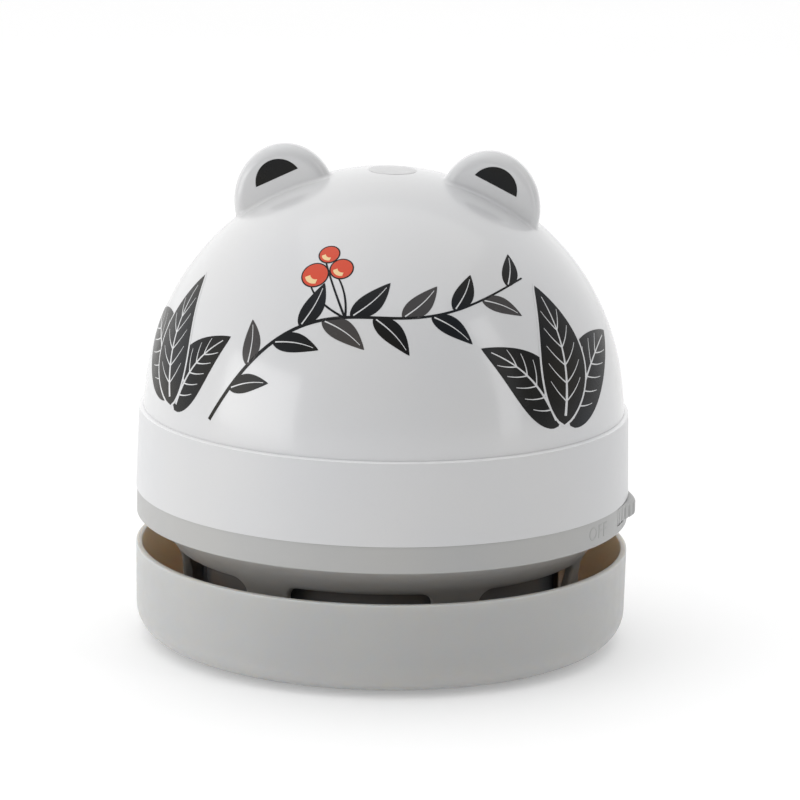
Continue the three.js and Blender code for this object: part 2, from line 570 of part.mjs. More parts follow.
// -------------------------------------------------------------- slide tab
{
  // flush with the ring at both ends, swelling in the middle, ribbed across
  const swell = (a) => TAB_RISE * (1 - (a / TAB_HALF) ** 2) ** 5;
  const slab = (share, z0, z1) => {
    const shape = new THREE.Shape();
    const n = 40;
    for (let i = 0; i <= n; i++) {
      const a = -TAB_HALF + (2 * TAB_HALF * i) / n;
      const r = RING_R + share * swell(a);
      if (i === 0) shape.moveTo(r * Math.cos(deg(a)), r * Math.sin(deg(a)));
      else shape.lineTo(r * Math.cos(deg(a)), r * Math.sin(deg(a)));
    }
    for (let i = 20; i >= 0; i--) {
      const a = deg(-TAB_HALF + (2 * TAB_HALF * i) / 20);
      shape.lineTo(TAB_IN * Math.cos(a), TAB_IN * Math.sin(a));
    }
    shape.closePath();
    return toSolid(new THREE.ExtrudeGeometry(shape, { depth: z1 - z0, bevelEnabled: false }).translate(0, 0, z0));
  };
  let tab = slab(1, TAB_LOW + 0.25, TAB_TOP - 0.9)
    .add(slab(0.84, TAB_LOW, TAB_TOP - 0.4))
    .add(slab(0.5, TAB_LOW, TAB_TOP));
  for (let i = 0; i < 11; i++) {
    const a = -11 + 2.2 * i;
    const depth = Math.min(0.3, 0.18 + 0.4 * swell(a));
    tab = tab.subtract(turnZ(block(RING_R + swell(a) - depth, 47, -0.26, 0.26, TAB_LOW - 1, TAB_TOP - 0.75), deg(a)));
  }
  tab = tab.add(block(37.6, TAB_IN + 0.4, -STEM_HALF, STEM_HALF, STEM_LOW, STEM_TOP));
  add('switch_tab', tab, greyPlastic());
}
{
  const lever = block(36.3, 39.3, -2.4, 2.4, 24.0, 28.2)
    .add(block(34.6, 36.5, -1.2, 1.2, 27.0, 28.0))
    .subtract(block(37.3, 40, -1.1, 1.1, 23, 26.4));
  add('switch_lever', lever, darkPlastic());
}

// ------------------------------------------------------------- dome cover
{
  const outer = [];
  const n = 13;
  const a0 = Math.asin((DOME_FOOT_Z - DOME_Z) / DOME_R);
  for (let i = 0; i <= n; i++) {
    const a = a0 + ((Math.PI / 2 - a0) * i) / n;
    const z = DOME_Z + DOME_R * Math.sin(a);
    outer.push([i === n ? 0 : DOME_R * Math.cos(a) + 0.3 * Math.exp(-(z - DOME_Z) / 3), z]);
  }
  // outside only, closed down the axis; the hollow is cut after the ears are on
  let dome = turned([[0, DOME_SPIGOT_LOW], [DOME_SPIGOT_OUT, DOME_SPIGOT_LOW], [DOME_SPIGOT_OUT, DOME_FOOT_Z], ...outer]);
  for (const s of [-1, 1]) {
    const q = arc(EAR_R - EAR_ROUND, EAR_ROUND, EAR_ROUND, -Math.PI / 2, 0, 3)
      .concat(arc(EAR_R - EAR_ROUND, EAR_T - EAR_ROUND, EAR_ROUND, 0, Math.PI / 2, 3));
    const pts = [[0, 0], ...q, [0, EAR_T]].map(([r, y]) => new THREE.Vector2(r, y));
    const ear = toSolid(new THREE.LatheGeometry(pts, 32).scale(EAR_SX, 1, 1).translate(s * EAR_X, EAR_Y, EAR_Z));
    dome = dome.add(ear);
  }
  const hollow = [[0, DOME_SPIGOT_LOW - 1], [DOME_SPIGOT_IN, DOME_SPIGOT_LOW - 1], [DOME_SPIGOT_IN, 43.0],
    ...arc(0, DOME_Z, DOME_IN, Math.asin(2.2 / DOME_IN), Math.PI / 2, 8).slice(0, 8), [0, DOME_Z + DOME_IN]];
  dome = dome.subtract(turned(hollow, 32));
  add('dome_cover', dome, whiteGloss());
}

export default cleaner;
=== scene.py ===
"""Looks of the desktop mini vacuum cleaner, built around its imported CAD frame.

Lengths inside the helpers are millimetres; meshes are made in metres.
"""

import math

import bmesh
import bpy
import numpy as np
from mathutils import Matrix, Vector
from mathutils.geometry import delaunay_2d_cdt


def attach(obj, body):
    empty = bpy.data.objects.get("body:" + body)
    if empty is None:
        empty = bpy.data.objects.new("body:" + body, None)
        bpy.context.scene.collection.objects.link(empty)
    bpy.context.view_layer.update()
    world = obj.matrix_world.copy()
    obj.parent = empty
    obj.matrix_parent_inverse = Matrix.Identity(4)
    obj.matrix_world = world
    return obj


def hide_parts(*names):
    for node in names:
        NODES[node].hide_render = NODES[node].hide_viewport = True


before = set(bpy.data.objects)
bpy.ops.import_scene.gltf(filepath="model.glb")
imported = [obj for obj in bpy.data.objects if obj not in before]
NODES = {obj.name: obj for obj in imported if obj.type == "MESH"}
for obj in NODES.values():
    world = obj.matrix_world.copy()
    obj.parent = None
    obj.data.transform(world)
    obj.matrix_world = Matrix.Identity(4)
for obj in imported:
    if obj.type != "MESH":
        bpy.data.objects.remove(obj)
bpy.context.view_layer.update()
MM = 0.001
RNG = np.random.default_rng(7)
TAU = 2 * math.pi


# ------------------------------------------------------------------ materials
class Mat:
    """A small wrapper that lays out one procedural material."""

    def __init__(self, name):
        self.m = bpy.data.materials.new(name)
        self.m.use_nodes = True
        self.t = self.m.node_tree
        self.t.nodes.clear()
        self.out = self.t.nodes.new("ShaderNodeOutputMaterial")
        self.b = self.t.nodes.new("ShaderNodeBsdfPrincipled")
        self.t.links.new(self.b.outputs["BSDF"], self.out.inputs["Surface"])
        self.co = self.t.nodes.new("ShaderNodeTexCoord")

    def node(self, kind, **values):
        n = self.t.nodes.new(kind)
        for k, v in values.items():
            if k in n.inputs:
                n.inputs[k].default_value = v
            else:
                setattr(n, k, v)
        return n

    def link(self, a, b):
        self.t.links.new(a, b)

    def noise(self, scale, detail=3.0, rough=0.5, stretch=None, turn=None):
        n = self.node("ShaderNodeTexNoise")
        n.inputs["Scale"].default_value = scale
        n.inputs["Detail"].default_value = detail
        n.inputs["Roughness"].default_value = rough
        if stretch or turn:
            mp = self.node("ShaderNodeMapping")
            mp.inputs["Scale"].default_value = stretch or (1, 1, 1)
            mp.inputs["Rotation"].default_value = turn or (0, 0, 0)
            self.link(self.co.outputs["Object"], mp.inputs["Vector"])
            self.link(mp.outputs["Vector"], n.inputs["Vector"])
        else:
            self.link(self.co.outputs["Object"], n.inputs["Vector"])
        return n.outputs["Fac"]

    def ramp(self, fac, stops):
        r = self.node("ShaderNodeValToRGB")
        el = r.color_ramp.elements
        while len(el) > len(stops):
            el.remove(el[-1])
        while len(el) < len(stops):
            el.new(0.5)
        for e, (p, c) in zip(el, stops):
            e.position = p
            e.color = (*c, 1.0) if len(c) == 3 else c
        self.link(fac, r.inputs["Fac"])
        return r.outputs["Color"]

    def remap(self, fac, lo, hi, a=0.3, b=0.7):
        r = self.node("ShaderNodeMapRange")
        r.inputs["From Min"].default_value = a
        r.inputs["From Max"].default_value = b
        r.inputs["To Min"].default_value = lo
        r.inputs["To Max"].default_value = hi
        self.link(fac, r.inputs["Value"])
        return r.outputs["Result"]

    def mix(self, fac, a, b, mode="MIX"):
        n = self.node("ShaderNodeMix")
        n.data_type = "RGBA"
        n.blend_type = mode
        if hasattr(fac, "is_linked") or not isinstance(fac, (int, float)):
            self.link(fac, n.inputs["Factor"])
        else:
            n.inputs["Factor"].default_value = fac
        for s, v in ((n.inputs[6], a), (n.inputs[7], b)):
            if isinstance(v, tuple):
                s.default_value = (*v, 1.0) if len(v) == 3 else v
            else:
                self.link(v, s)
        return n.outputs[2]

    def bumps(self, layers):
        """layers: (height socket, distance in metres, strength)"""
        last = None
        for h, dist, strength in layers:
            b = self.node("ShaderNodeBump")
            b.inputs["Distance"].default_value = dist
            b.inputs["Strength"].default_value = strength
            self.link(h, b.inputs["Height"])
            if last is not None:
                self.link(last, b.inputs["Normal"])
            last = b.outputs["Normal"]
        self.link(last, self.b.inputs["Normal"])

    def set(self, **kw):
        for k, v in kw.items():
            self.b.inputs[k.replace("_", " ")].default_value = v
        return self


def moulded(name, colour, rough, spread=0.03, grain=0.000006, grain_scale=5200.0, grain_strength=0.5, tint=0.02,
            coat=0.0, coat_rough=0.1, ripple=0.0, spec=0.5, glow=None):
    """Moulded plastic: slow colour drift, fine surface grain, uneven gloss. glow: reach in metres of the light that
    seeps through a thin wall, by colour."""
    m = Mat(name)
    c = np.array(colour)
    warm = tuple(np.clip(c * (1 + tint) + np.array([0.004, 0.002, -0.003]), 0, 1))
    cool = tuple(np.clip(c * (1 - tint) + np.array([-0.002, 0, 0.003]), 0, 1))
    slow = m.noise(55.0, 2.0, 0.45)
    col = m.ramp(slow, [(0.32, cool), (0.68, warm)])
    specks = m.noise(2600.0, 1.0, 0.4)
    col = m.mix(m.remap(specks, 0.0, 0.06, 0.55, 0.75), col, tuple(np.clip(c * 0.82, 0, 1)))
    m.link(col, m.b.inputs["Base Color"])
    fine = m.noise(420.0, 3.0, 0.55)
    m.link(m.remap(fine, rough - spread * 0.4, rough + spread, 0.3, 0.7), m.b.inputs["Roughness"])
    layers = []
    if ripple:
        layers.append((m.noise(95.0, 1.5, 0.4), ripple, 0.6))
    layers.append((m.noise(grain_scale, 2.0, 0.5), grain, grain_strength))
    m.bumps(layers)
    m.b.inputs["Specular IOR Level"].default_value = spec
    if glow:
        m.b.inputs["Subsurface Weight"].default_value = 1.0
        m.b.inputs["Subsurface Radius"].default_value = tuple(g / max(glow) for g in glow)
        m.b.inputs["Subsurface Scale"].default_value = max(glow)
    if coat:
        m.b.inputs["Coat Weight"].default_value = coat
        m.b.inputs["Coat Roughness"].default_value = coat_rough
    return m.m


M = {}
M["white_gloss"] = moulded("glossy white moulding", (0.61, 0.612, 0.62), 0.2, spread=0.03, grain=0.0000012, grain_scale=2600.0,
                           grain_strength=0.25, tint=0.006, coat=0.35, coat_rough=0.09, ripple=0.000006)
M["white_plastic"] = moulded("satin white moulding", (0.60, 0.602, 0.61), 0.3, spread=0.05, grain=0.0000022, grain_scale=3600.0,
                             grain_strength=0.35, tint=0.006)
# a brighter white for the band's top bevel: a painted highlight along the seam under the dome
M["white_edge"] = moulded("white edge with painted highlight", (0.80, 0.802, 0.81), 0.18, spread=0.03, grain=0.0000012, grain_scale=2600.0,
                          grain_strength=0.25, tint=0.004, coat=0.35, coat_rough=0.09)
M["grey_plastic"] = moulded("satin grey moulding", (0.415, 0.415, 0.41), 0.42, spread=0.08, grain=0.000006, grain_scale=6500.0,
                            grain_strength=0.45, tint=0.012)
# the raised letters a little darker than the ring: painted shade in place of the shading of their relief
M["grey_mark"] = moulded("satin grey mark with painted shade", (0.39, 0.39, 0.385), 0.46, spread=0.08, grain=0.000006, grain_scale=6500.0,
                         grain_strength=0.45, tint=0.012)
M["dark_plastic"] = moulded("dark moulding", (0.045, 0.045, 0.048), 0.34, spread=0.1, grain=0.000006, grain_scale=5200.0, tint=0.08)
M["deck_plastic"] = moulded("plain light moulding", (0.62, 0.62, 0.60), 0.45, spread=0.08, tint=0.012)
M["tray_plastic"] = moulded("black tray moulding", (0.02, 0.02, 0.022), 0.42, spread=0.1, tint=0.1)
# darker and warmer than the ring's grey: painted shade under the ring, with a painted warm bounce from the cup
M["grey_neck"] = moulded("satin grey neck with painted warm shade", (0.365, 0.354, 0.338), 0.42, spread=0.08, grain=0.000006, grain_scale=6500.0,
                         grain_strength=0.45, tint=0.012, glow=(0.0030, 0.0026, 0.0021))
M["grey_cup"] = moulded("satin grey cup", (0.447, 0.450, 0.449), 0.42, spread=0.08, grain=0.000006, grain_scale=6500.0,
                        grain_strength=0.45, tint=0.012, glow=(0.0044, 0.00345, 0.0025))
M["drum_plastic"] = moulded("glossy smoke moulding", (0.172, 0.176, 0.183), 0.15, spread=0.05, grain=0.000002, grain_scale=5200.0,
                            grain_strength=0.3, tint=0.05, coat=0.3, coat_rough=0.1)
M["print_black"] = moulded("black print", (0.0065, 0.0065, 0.0072), 0.24, spread=0.05, grain=0.0000015, grain_scale=5200.0, tint=0.12,
                           ripple=0.000004, spec=0.2)
M["print_grey"] = moulded("dark grey print", (0.055, 0.051, 0.051), 0.24, spread=0.05, grain=0.0000015, tint=0.08, spec=0.2)
M["print_red"] = moulded("orange red print", (0.60, 0.055, 0.018), 0.2, spread=0.05, grain=0.0000015, tint=0.05, spec=0.35)
M["print_cream"] = moulded("cream print", (0.80, 0.58, 0.30), 0.2, spread=0.05, grain=0.0000015, tint=0.03, spec=0.35)
M["label_film"] = moulded("blank label film", (0.60, 0.60, 0.605), 0.36, spread=0.1, grain=0.000003, grain_scale=1800.0, tint=0.02)


def rubber():
    m = Mat("black rubber")
    n = m.noise(900.0, 4.0, 0.6)
    m.link(m.ramp(n, [(0.3, (0.012, 0.012, 0.013)), (0.7, (0.028, 0.027, 0.027))]), m.b.inputs["Base Color"])
    m.link(m.remap(n, 0.62, 0.85), m.b.inputs["Roughness"])
    m.bumps([(m.noise(2400.0, 3.0, 0.6), 0.00002, 0.5)])
    return m.m


def felt():
    m = Mat("filter cloth")
    a = m.noise(2600.0, 4.0, 0.7, stretch=(1.0, 0.25, 1.0))
    b = m.noise(2600.0, 4.0, 0.7, stretch=(0.25, 1.0, 1.0))
    col = m.ramp(m.noise(700.0, 4.0, 0.65), [(0.3, (0.60, 0.585, 0.54)), (0.7, (0.78, 0.77, 0.73))])
    m.link(col, m.b.inputs["Base Color"])
    m.link(m.remap(a, 0.85, 1.0), m.b.inputs["Roughness"])
    m.bumps([(a, 0.00008, 0.8), (b, 0.00008, 0.8)])
    m.b.inputs["Sheen Weight"].default_value = 0.35
    m.b.inputs["Sheen Roughness"].default_value = 0.5
    return m.m


def metal(name, colour, rough, stretch=(1, 1, 12), tint=0.08):
    m = Mat(name)
    n = m.noise(800.0, 4.0, 0.6, stretch=stretch)
    c = np.array(colour)
    m.link(m.ramp(n, [(0.3, tuple(c * (1 - tint))), (0.7, tuple(np.clip(c * (1 + tint), 0, 1)))]), m.b.inputs["Base Color"])
    m.b.inputs["Metallic"].default_value = 1.0
    m.link(m.remap(n, rough - 0.05, rough + 0.12), m.b.inputs["Roughness"])
    m.bumps([(n, 0.000004, 0.4)])
    return m.m


def bristle():
    m = Mat("nylon bristle")
    n = m.noise(1400.0, 2.0, 0.5, stretch=(1, 1, 0.1))
    m.link(m.ramp(n, [(0.3, (0.012, 0.012, 0.012)), (0.7, (0.05, 0.048, 0.046))]), m.b.inputs["Base Color"])
    m.link(m.remap(n, 0.3, 0.5), m.b.inputs["Roughness"])
    m.bumps([(n, 0.000004, 0.3)])
    return m.m


M["black_rubber"] = rubber()
M["filter_cloth"] = felt()
M["bristle"] = bristle()
M["bare_steel"] = metal("nickel plated steel", (0.62, 0.62, 0.63), 0.24)
M["spring_steel"] = metal("spring steel", (0.60, 0.60, 0.62), 0.2, stretch=(1, 1, 1))
M["gold_contact"] = metal("nickel contact strip", (0.66, 0.64, 0.58), 0.26, stretch=(1, 8, 1))
M["cell_sleeve"] = moulded("shrink sleeve", (0.03, 0.12, 0.085), 0.24, spread=0.08, grain=0.00001, grain_scale=900.0, tint=0.08, coat=0.2)
M["cell_band"] = moulded("pale sleeve band", (0.62, 0.62, 0.60), 0.26, spread=0.08, grain=0.00001, grain_scale=900.0, tint=0.03, coat=0.2)
M["wire_red"] = moulded("red lead", (0.42, 0.018, 0.014), 0.36, spread=0.1, grain=0.00001, grain_scale=2400.0, tint=0.06)
M["wire_black"] = moulded("black lead", (0.012, 0.012, 0.013), 0.38, spread=0.1, grain=0.00001, grain_scale=2400.0, tint=0.1)


# -------------------------------------------------------------------- helpers
def make(name, verts, faces, mats, mat_idx=None, angle=38.0, flip_fix=True):
    """A mesh object in metres from millimetre vertices."""
    me = bpy.data.meshes.new(name)
    v = np.asarray(verts, float) * MM
    me.from_pydata(v.tolist(), [], [tuple(int(i) for i in f) for f in faces])
    for m in (mats if isinstance(mats, (list, tuple)) else [mats]):
        me.materials.append(m)
    if mat_idx is not None:
        me.polygons.foreach_set("material_index", np.asarray(mat_idx, np.int32))
    me.validate(clean_customdata=False)
    if flip_fix:
        bm = bmesh.new()
        bm.from_mesh(me)
        bmesh.ops.recalc_face_normals(bm, faces=bm.faces)
        bm.to_mesh(me)
        bm.free()
    shade(me, angle)
    o = bpy.data.objects.new(name, me)
    bpy.context.scene.collection.objects.link(o)
    return o


def shade(me, angle=38.0):
    me.polygons.foreach_set("use_smooth", np.ones(len(me.polygons), bool))
    me.set_sharp_from_angle(angle=math.radians(angle))
    me.update()


def merge(parts):
    """parts: (verts, faces) lists joined into one."""
    vs, fs, n = [], [], 0
    for v, f in parts:
        v = np.asarray(v, float)
        vs.append(v)
        fs += [tuple(i + n for i in q) for q in f]
        n += len(v)
    return np.concatenate(vs), fs


def rounded(points, steps=5, closed=True):
    """Polyline with rounded corners from (r, z) or (r, z, radius)."""
    pts = [(p[0], p[1], p[2] if len(p) > 2 else 0.0) for p in points]
    n = len(pts)
    out = []
    for i, (x, y, rad) in enumerate(pts):
        if rad <= 0 or (not closed and i in (0, n - 1)):
            out.append((x, y))
            continue
        p = np.array([x, y])
        a = np.array(pts[(i - 1) % n][:2]) - p
        b = np.array(pts[(i + 1) % n][:2]) - p
        la, lb = np.linalg.norm(a), np.linalg.norm(b)
        a, b = a / la, b / lb
        half = math.acos(max(-1, min(1, float(a @ b)))) / 2
        if half > math.radians(89.5):
            out.append((x, y))
            continue
        t = min(rad / math.tan(half), la * 0.499, lb * 0.499)
        rr = t * math.tan(half)
        c = p + (a + b) / np.linalg.norm(a + b) * (rr / math.sin(half))
        s, e = p + a * t - c, p + b * t - c
        a0, a1 = math.atan2(s[1], s[0]), math.atan2(e[1], e[0])
        d = (a1 - a0 + math.pi) % TAU - math.pi
        k = max(2, int(math.ceil(abs(d) / (math.pi / 2) * steps)))
        for j in range(k + 1):
            w = a0 + d * j / k
            out.append((c[0] + rr * math.cos(w), c[1] + rr * math.sin(w)))
    # hold the shading of long straights with a loop near each end
    res = []
    m = len(out)
    for i in range(m):
        p = np.array(out[i])
        res.append(tuple(p))
        if not closed and i == m - 1:
            break
        q = np.array(out[(i + 1) % m])
        l = np.linalg.norm(q - p)
        if l > 1.3:
            u = (q - p) / l
            res.append(tuple(p + u * 0.22))
            res.append(tuple(q - u * 0.22))
    clean = [res[0]]
    for q in res[1:]:
        if math.hypot(q[0] - clean[-1][0], q[1] - clean[-1][1]) > 1e-5:
            clean.append(q)
    if closed and math.hypot(clean[0][0] - clean[-1][0], clean[0][1] - clean[-1][1]) < 1e-5:
        clean.pop()
    return clean


def lathe(profile, n=192, closed=True, axis_xy=(0.0, 0.0), phase=0.0):
    """Vertices and faces of a turned body; profile points at radius 0 become poles."""
    verts, faces = [], []
    idx = []
    ang = np.arange(n) * TAU / n + phase
    ca, sa = np.cos(ang), np.sin(ang)
    for r, z in profile:
        if r < 1e-6:
            idx.append([len(verts)])
            verts.append((axis_xy[0], axis_xy[1], z))
        else:
            base = len(verts)
            idx.append(list(range(base, base + n)))
            for c, s in zip(ca, sa):
                verts.append((axis_xy[0] + r * c, axis_xy[1] + r * s, z))
    m = len(profile)
    for i in range(m if closed else m - 1):
        a, b = idx[i], idx[(i + 1) % m]
        if len(a) == 1 and len(b) == 1:
            continue
        for j in range(n):
            k = (j + 1) % n
            if len(a) == 1:
                faces.append((a[0], b[k], b[j]))
            elif len(b) == 1:
                faces.append((a[j], a[k], b[0]))
            else:
                faces.append((a[j], a[k], b[k], b[j]))
    return np.array(verts), faces


def turned(points, n=192, steps=5, **kw):
    on_axis = points[0][0] < 1e-6 and points[-1][0] < 1e-6
    prof = rounded(points, steps, closed=not on_axis)
    return lathe(prof, n, closed=not on_axis, **kw)


def boxed(x0, x1, y0, y1, z0, z1, bev=0.25, seg=2):
    """Box with bevelled edges."""
    bm = bmesh.new()
    bmesh.ops.create_cube(bm, size=1.0)
    for v in bm.verts:
        v.co = Vector(((x0 + x1) / 2 + v.co.x * (x1 - x0), (y0 + y1) / 2 + v.co.y * (y1 - y0), (z0 + z1) / 2 + v.co.z * (z1 - z0)))
    if bev > 0:
        bmesh.ops.bevel(bm, geom=list(bm.edges), offset=bev, segments=seg, profile=0.5, affect="EDGES")
    bm.verts.index_update()
    v = np.array([q.co[:] for q in bm.verts])
    f = [tuple(q.index for q in p.verts) for p in bm.faces]
    bm.free()
    return v, f


def tube(points, r, sides=12, caps=True, radii=None):
    """Round tube through points with parallel-transported rings."""
    p = np.asarray(points, float)
    n = len(p)
    t = np.zeros_like(p)
    t[1:-1] = p[2:] - p[:-2]
    t[0], t[-1] = p[1] - p[0], p[-1] - p[-2]
    t /= np.linalg.norm(t, axis=1)[:, None]
    up = np.array([0, 0, 1.0]) if abs(t[0][2]) < 0.9 else np.array([1.0, 0, 0])
    u = np.cross(t[0], up)
    u /= np.linalg.norm(u)
    verts, faces = [], []
    for i in range(n):
        if i:
            u = u - t[i] * (u @ t[i])
            u /= np.linalg.norm(u)
        w = np.cross(t[i], u)
        rr = radii[i] if radii is not None else r
        for j in range(sides):
            a = TAU * j / sides
            verts.append(p[i] + rr * (math.cos(a) * u + math.sin(a) * w))
    for i in range(n - 1):
        for j in range(sides):
            k = (j + 1) % sides
            faces.append((i * sides + j, i * sides + k, (i + 1) * sides + k, (i + 1) * sides + j))
    if caps:
        faces.append(tuple(range(sides - 1, -1, -1)))
        faces.append(tuple((n - 1) * sides + j for j in range(sides)))
    return np.array(verts), faces


def catmull(points, n):
    """Centripetal Catmull-Rom curve through the points."""
    p = [np.array(q, float) for q in points]
    p = [2 * p[0] - p[1]] + p + [2 * p[-1] - p[-2]]
    out = []
    spans = len(p) - 3
    for i in range(spans):
        p0, p1, p2, p3 = p[i:i + 4]
        d = lambda a, b: max(np.linalg.norm(a - b) ** 0.5, 1e-6)
        t0 = 0.0
        t1 = t0 + d(p0, p1)
        t2 = t1 + d(p1, p2)
        t3 = t2 + d(p2, p3)
        k = max(3, n // spans)
        for j in range(k + (i == spans - 1)):
            t = t1 + (t2 - t1) * j / k
            a1 = (t1 - t) / (t1 - t0) * p0 + (t - t0) / (t1 - t0) * p1
            a2 = (t2 - t) / (t2 - t1) * p1 + (t - t1) / (t2 - t1) * p2
            a3 = (t3 - t) / (t3 - t2) * p2 + (t - t2) / (t3 - t2) * p3
            b1 = (t2 - t) / (t2 - t0) * a1 + (t - t0) / (t2 - t0) * a2
            b2 = (t3 - t) / (t3 - t1) * a2 + (t - t1) / (t3 - t1) * a3
            out.append((t2 - t) / (t2 - t1) * b1 + (t - t1) / (t2 - t1) * b2)
    return np.array(out)


def turn_z(v, a):
    c, s = math.cos(a), math.sin(a)
    v = np.asarray(v, float)
    return np.stack([v[:, 0] * c - v[:, 1] * s, v[:, 0] * s + v[:, 1] * c, v[:, 2]], 1)


def cut(obj, cutters, mode="DIFFERENCE"):
    """Boolean with exact solver, baked into the mesh."""
    for v, f in cutters:
        c = make("cutter", v, f, obj.data.materials[0])
        mod = obj.modifiers.new("cut", "BOOLEAN")
        mod.object = c
        mod.operation = mode
        mod.solver = "EXACT"
        dg = bpy.context.evaluated_depsgraph_get()
        new = bpy.data.meshes.new_from_object(obj.evaluated_get(dg))
        obj.modifiers.clear()
        old = obj.data
        obj.data = new
        bpy.data.meshes.remove(old)
        bpy.data.objects.remove(c)
    shade(obj.data)
    return obj


def put(obj, body, node=None):
    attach(obj, body)
    if node:
        for n in ([node] if isinstance(node, str) else node):
            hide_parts(n)
    return obj


def refine(node, body, mats, bevel=0.25, segments=2, name=None):
    """A new piece from a node's shape, with its flat faces whole and its edges eased."""
    me = NODES[node].data.copy()
    bm = bmesh.new()
    bm.from_mesh(me)
    bmesh.ops.remove_doubles(bm, verts=bm.verts, dist=1e-6)
    bmesh.ops.dissolve_limit(bm, angle_limit=math.radians(0.6), verts=bm.verts, edges=bm.edges)
    edges = [e for e in bm.edges if len(e.link_faces) == 2 and e.calc_face_angle(0) > math.radians(31)]
    bmesh.ops.bevel(bm, geom=edges, offset=bevel * MM, segments=segments, profile=0.5, affect="EDGES", clamp_overlap=True)
    bmesh.ops.recalc_face_normals(bm, faces=bm.faces)
    new = bpy.data.meshes.new(name or node + "_fine")
    bm.to_mesh(new)
    bm.free()
    bpy.data.meshes.remove(me)
    new.materials.append(mats)
    shade(new, 32)
    o = bpy.data.objects.new(name or node + "_fine", new)
    bpy.context.scene.collection.objects.link(o)
    return put(o, body, node)


# ------------------------------------------------------------------ dimensions
CUP_R, CUP_R_LOW, CUP_RIM_Z = 43.97, 43.75, 16.9
RING_R = 43.85
DOME_R, DOME_IN, DOME_Z = 42.6, 40.8, 41.9
DOME_FOOT_Z = 41.91
EAR_X, EAR_Z, EAR_R, EAR_SX, EAR_Y, EAR_T, EAR_ROUND = 18.04, 78.35, 10.28, 0.88, -3.6, 4.6, 2.0
WINDOW_TURNS = (0.0, 55.2, 124.8, 180.0, 235.2, 304.8)     # from the front toward +X, degrees
WINDOW_W, WIN_LOW, WIN_TOP, WIN_ROUND = 24.9, 6.2, 16.8, 2.3
TAB_HALF, TAB_RISE = 12.5, 1.5
CELL_R, CELL_Y, CELL_Z = 7.25, 7.5, 60.15
SWITCH_Y = 2.1


# -------------------------------------------------------------------- base cup
def build_base():
    v, f = turned([
        (22.3, 0.5, 0.25), (CUP_R_LOW, 0.5, 5.3), (CUP_R, CUP_RIM_Z, 0.26), (CUP_R - 1.1, CUP_RIM_Z, 0.24),
        (41.9, 2.5, 3.5), (33.6, 2.5, 0.4), (33.6, 5.6, 0.3), (32.4, 5.6, 0.3), (32.4, 2.5, 0.4), (22.3, 2.5, 0.25),
    ], n=288, steps=9)
    o = make("cup_shell", v, f, M["grey_cup"])
    pockets = []
    for i in range(4):
        a = math.radians(45 + 90 * i)
        x, y = 34 * math.cos(a), 34 * math.sin(a)
        pockets.append(turned([(0, -1), (3.3, -1), (3.3, 1.2), (0, 1.2)], n=48, axis_xy=(x, y)))
    cut(o, pockets)
    put(o, "base", "base_cup")

    for i in range(4):
        a = math.radians(45 + 90 * i)
        x, y = 34 * math.cos(a), 34 * math.sin(a)
        v, f = turned([(0, 0.04), (1.5, 0.0), (1.9, 0.14, 0.05), (2.1, 0.0, 0.05), (3.0, 0.0, 0.25), (3.0, 0.9, 0.1), (0, 0.9)],
                      n=64, axis_xy=(x, y))
        put(make(f"soft_foot_{i + 1}", v, f, M["black_rubber"]), "base", f"glide_pad_{i + 1}")

    v, f = turned([
        (11.5, 0.5, 0.35), (13.9, 0.5, 0.2), (13.9, 3.1, 0.15), (21.1, 3.1, 0.15), (21.1, 0.5, 0.2), (22.0, 0.5, 0.2),
        (22.0, 2.8, 0.1), (23.0, 2.8, 0.1), (23.0, 5.0, 0.4), (13.1, 5.0, 0.5), (13.1, 9.0, 0.45), (11.5, 9.0, 0.45),
    ], n=160)
    put(make("mouth_ring", v, f, M["grey_plastic"]), "base", "suction_mouth")

    v, f = turned([(14.2, 1.6, 0.15), (20.8, 1.6, 0.15), (20.8, 2.8, 0.1), (14.2, 2.8, 0.1)], n=128)
    put(make("tuft_carrier", v, f, M["dark_plastic"]), "base", "brush_carrier")

    parts = []
    for ring_r, count in ((16.3, 38), (18.7, 44)):
        for i in range(count):
            a = TAU * (i + 0.5 * (ring_r > 17)) / count
            cx, cy = ring_r * math.cos(a), ring_r * math.sin(a)
            for k in range(11):
                w = TAU * k / 11 * 2.4
                s = 0.52 * math.sqrt((k + 0.5) / 11)
                bx, by = cx + s * math.cos(w), cy + s * math.sin(w)
                lean = 0.28 * s
                tip_r = math.hypot(bx, by)
                tx = bx + lean * math.cos(w) + RNG.normal(0, 0.05)
                ty = by + lean * math.sin(w) + RNG.normal(0, 0.05)
                tz = 0.16 + 0.12 * RNG.random()
                parts.append(tube([(bx, by, 1.59), ((bx + tx) / 2, (by + ty) / 2, 0.9), (tx, ty, tz)], 0.1, sides=5,
                                  radii=[0.1, 0.095, 0.07]))
    v, f = merge(parts)
    put(make("bristle_tufts", v, f, M["bristle"], flip_fix=False), "base", "brush_bristles")


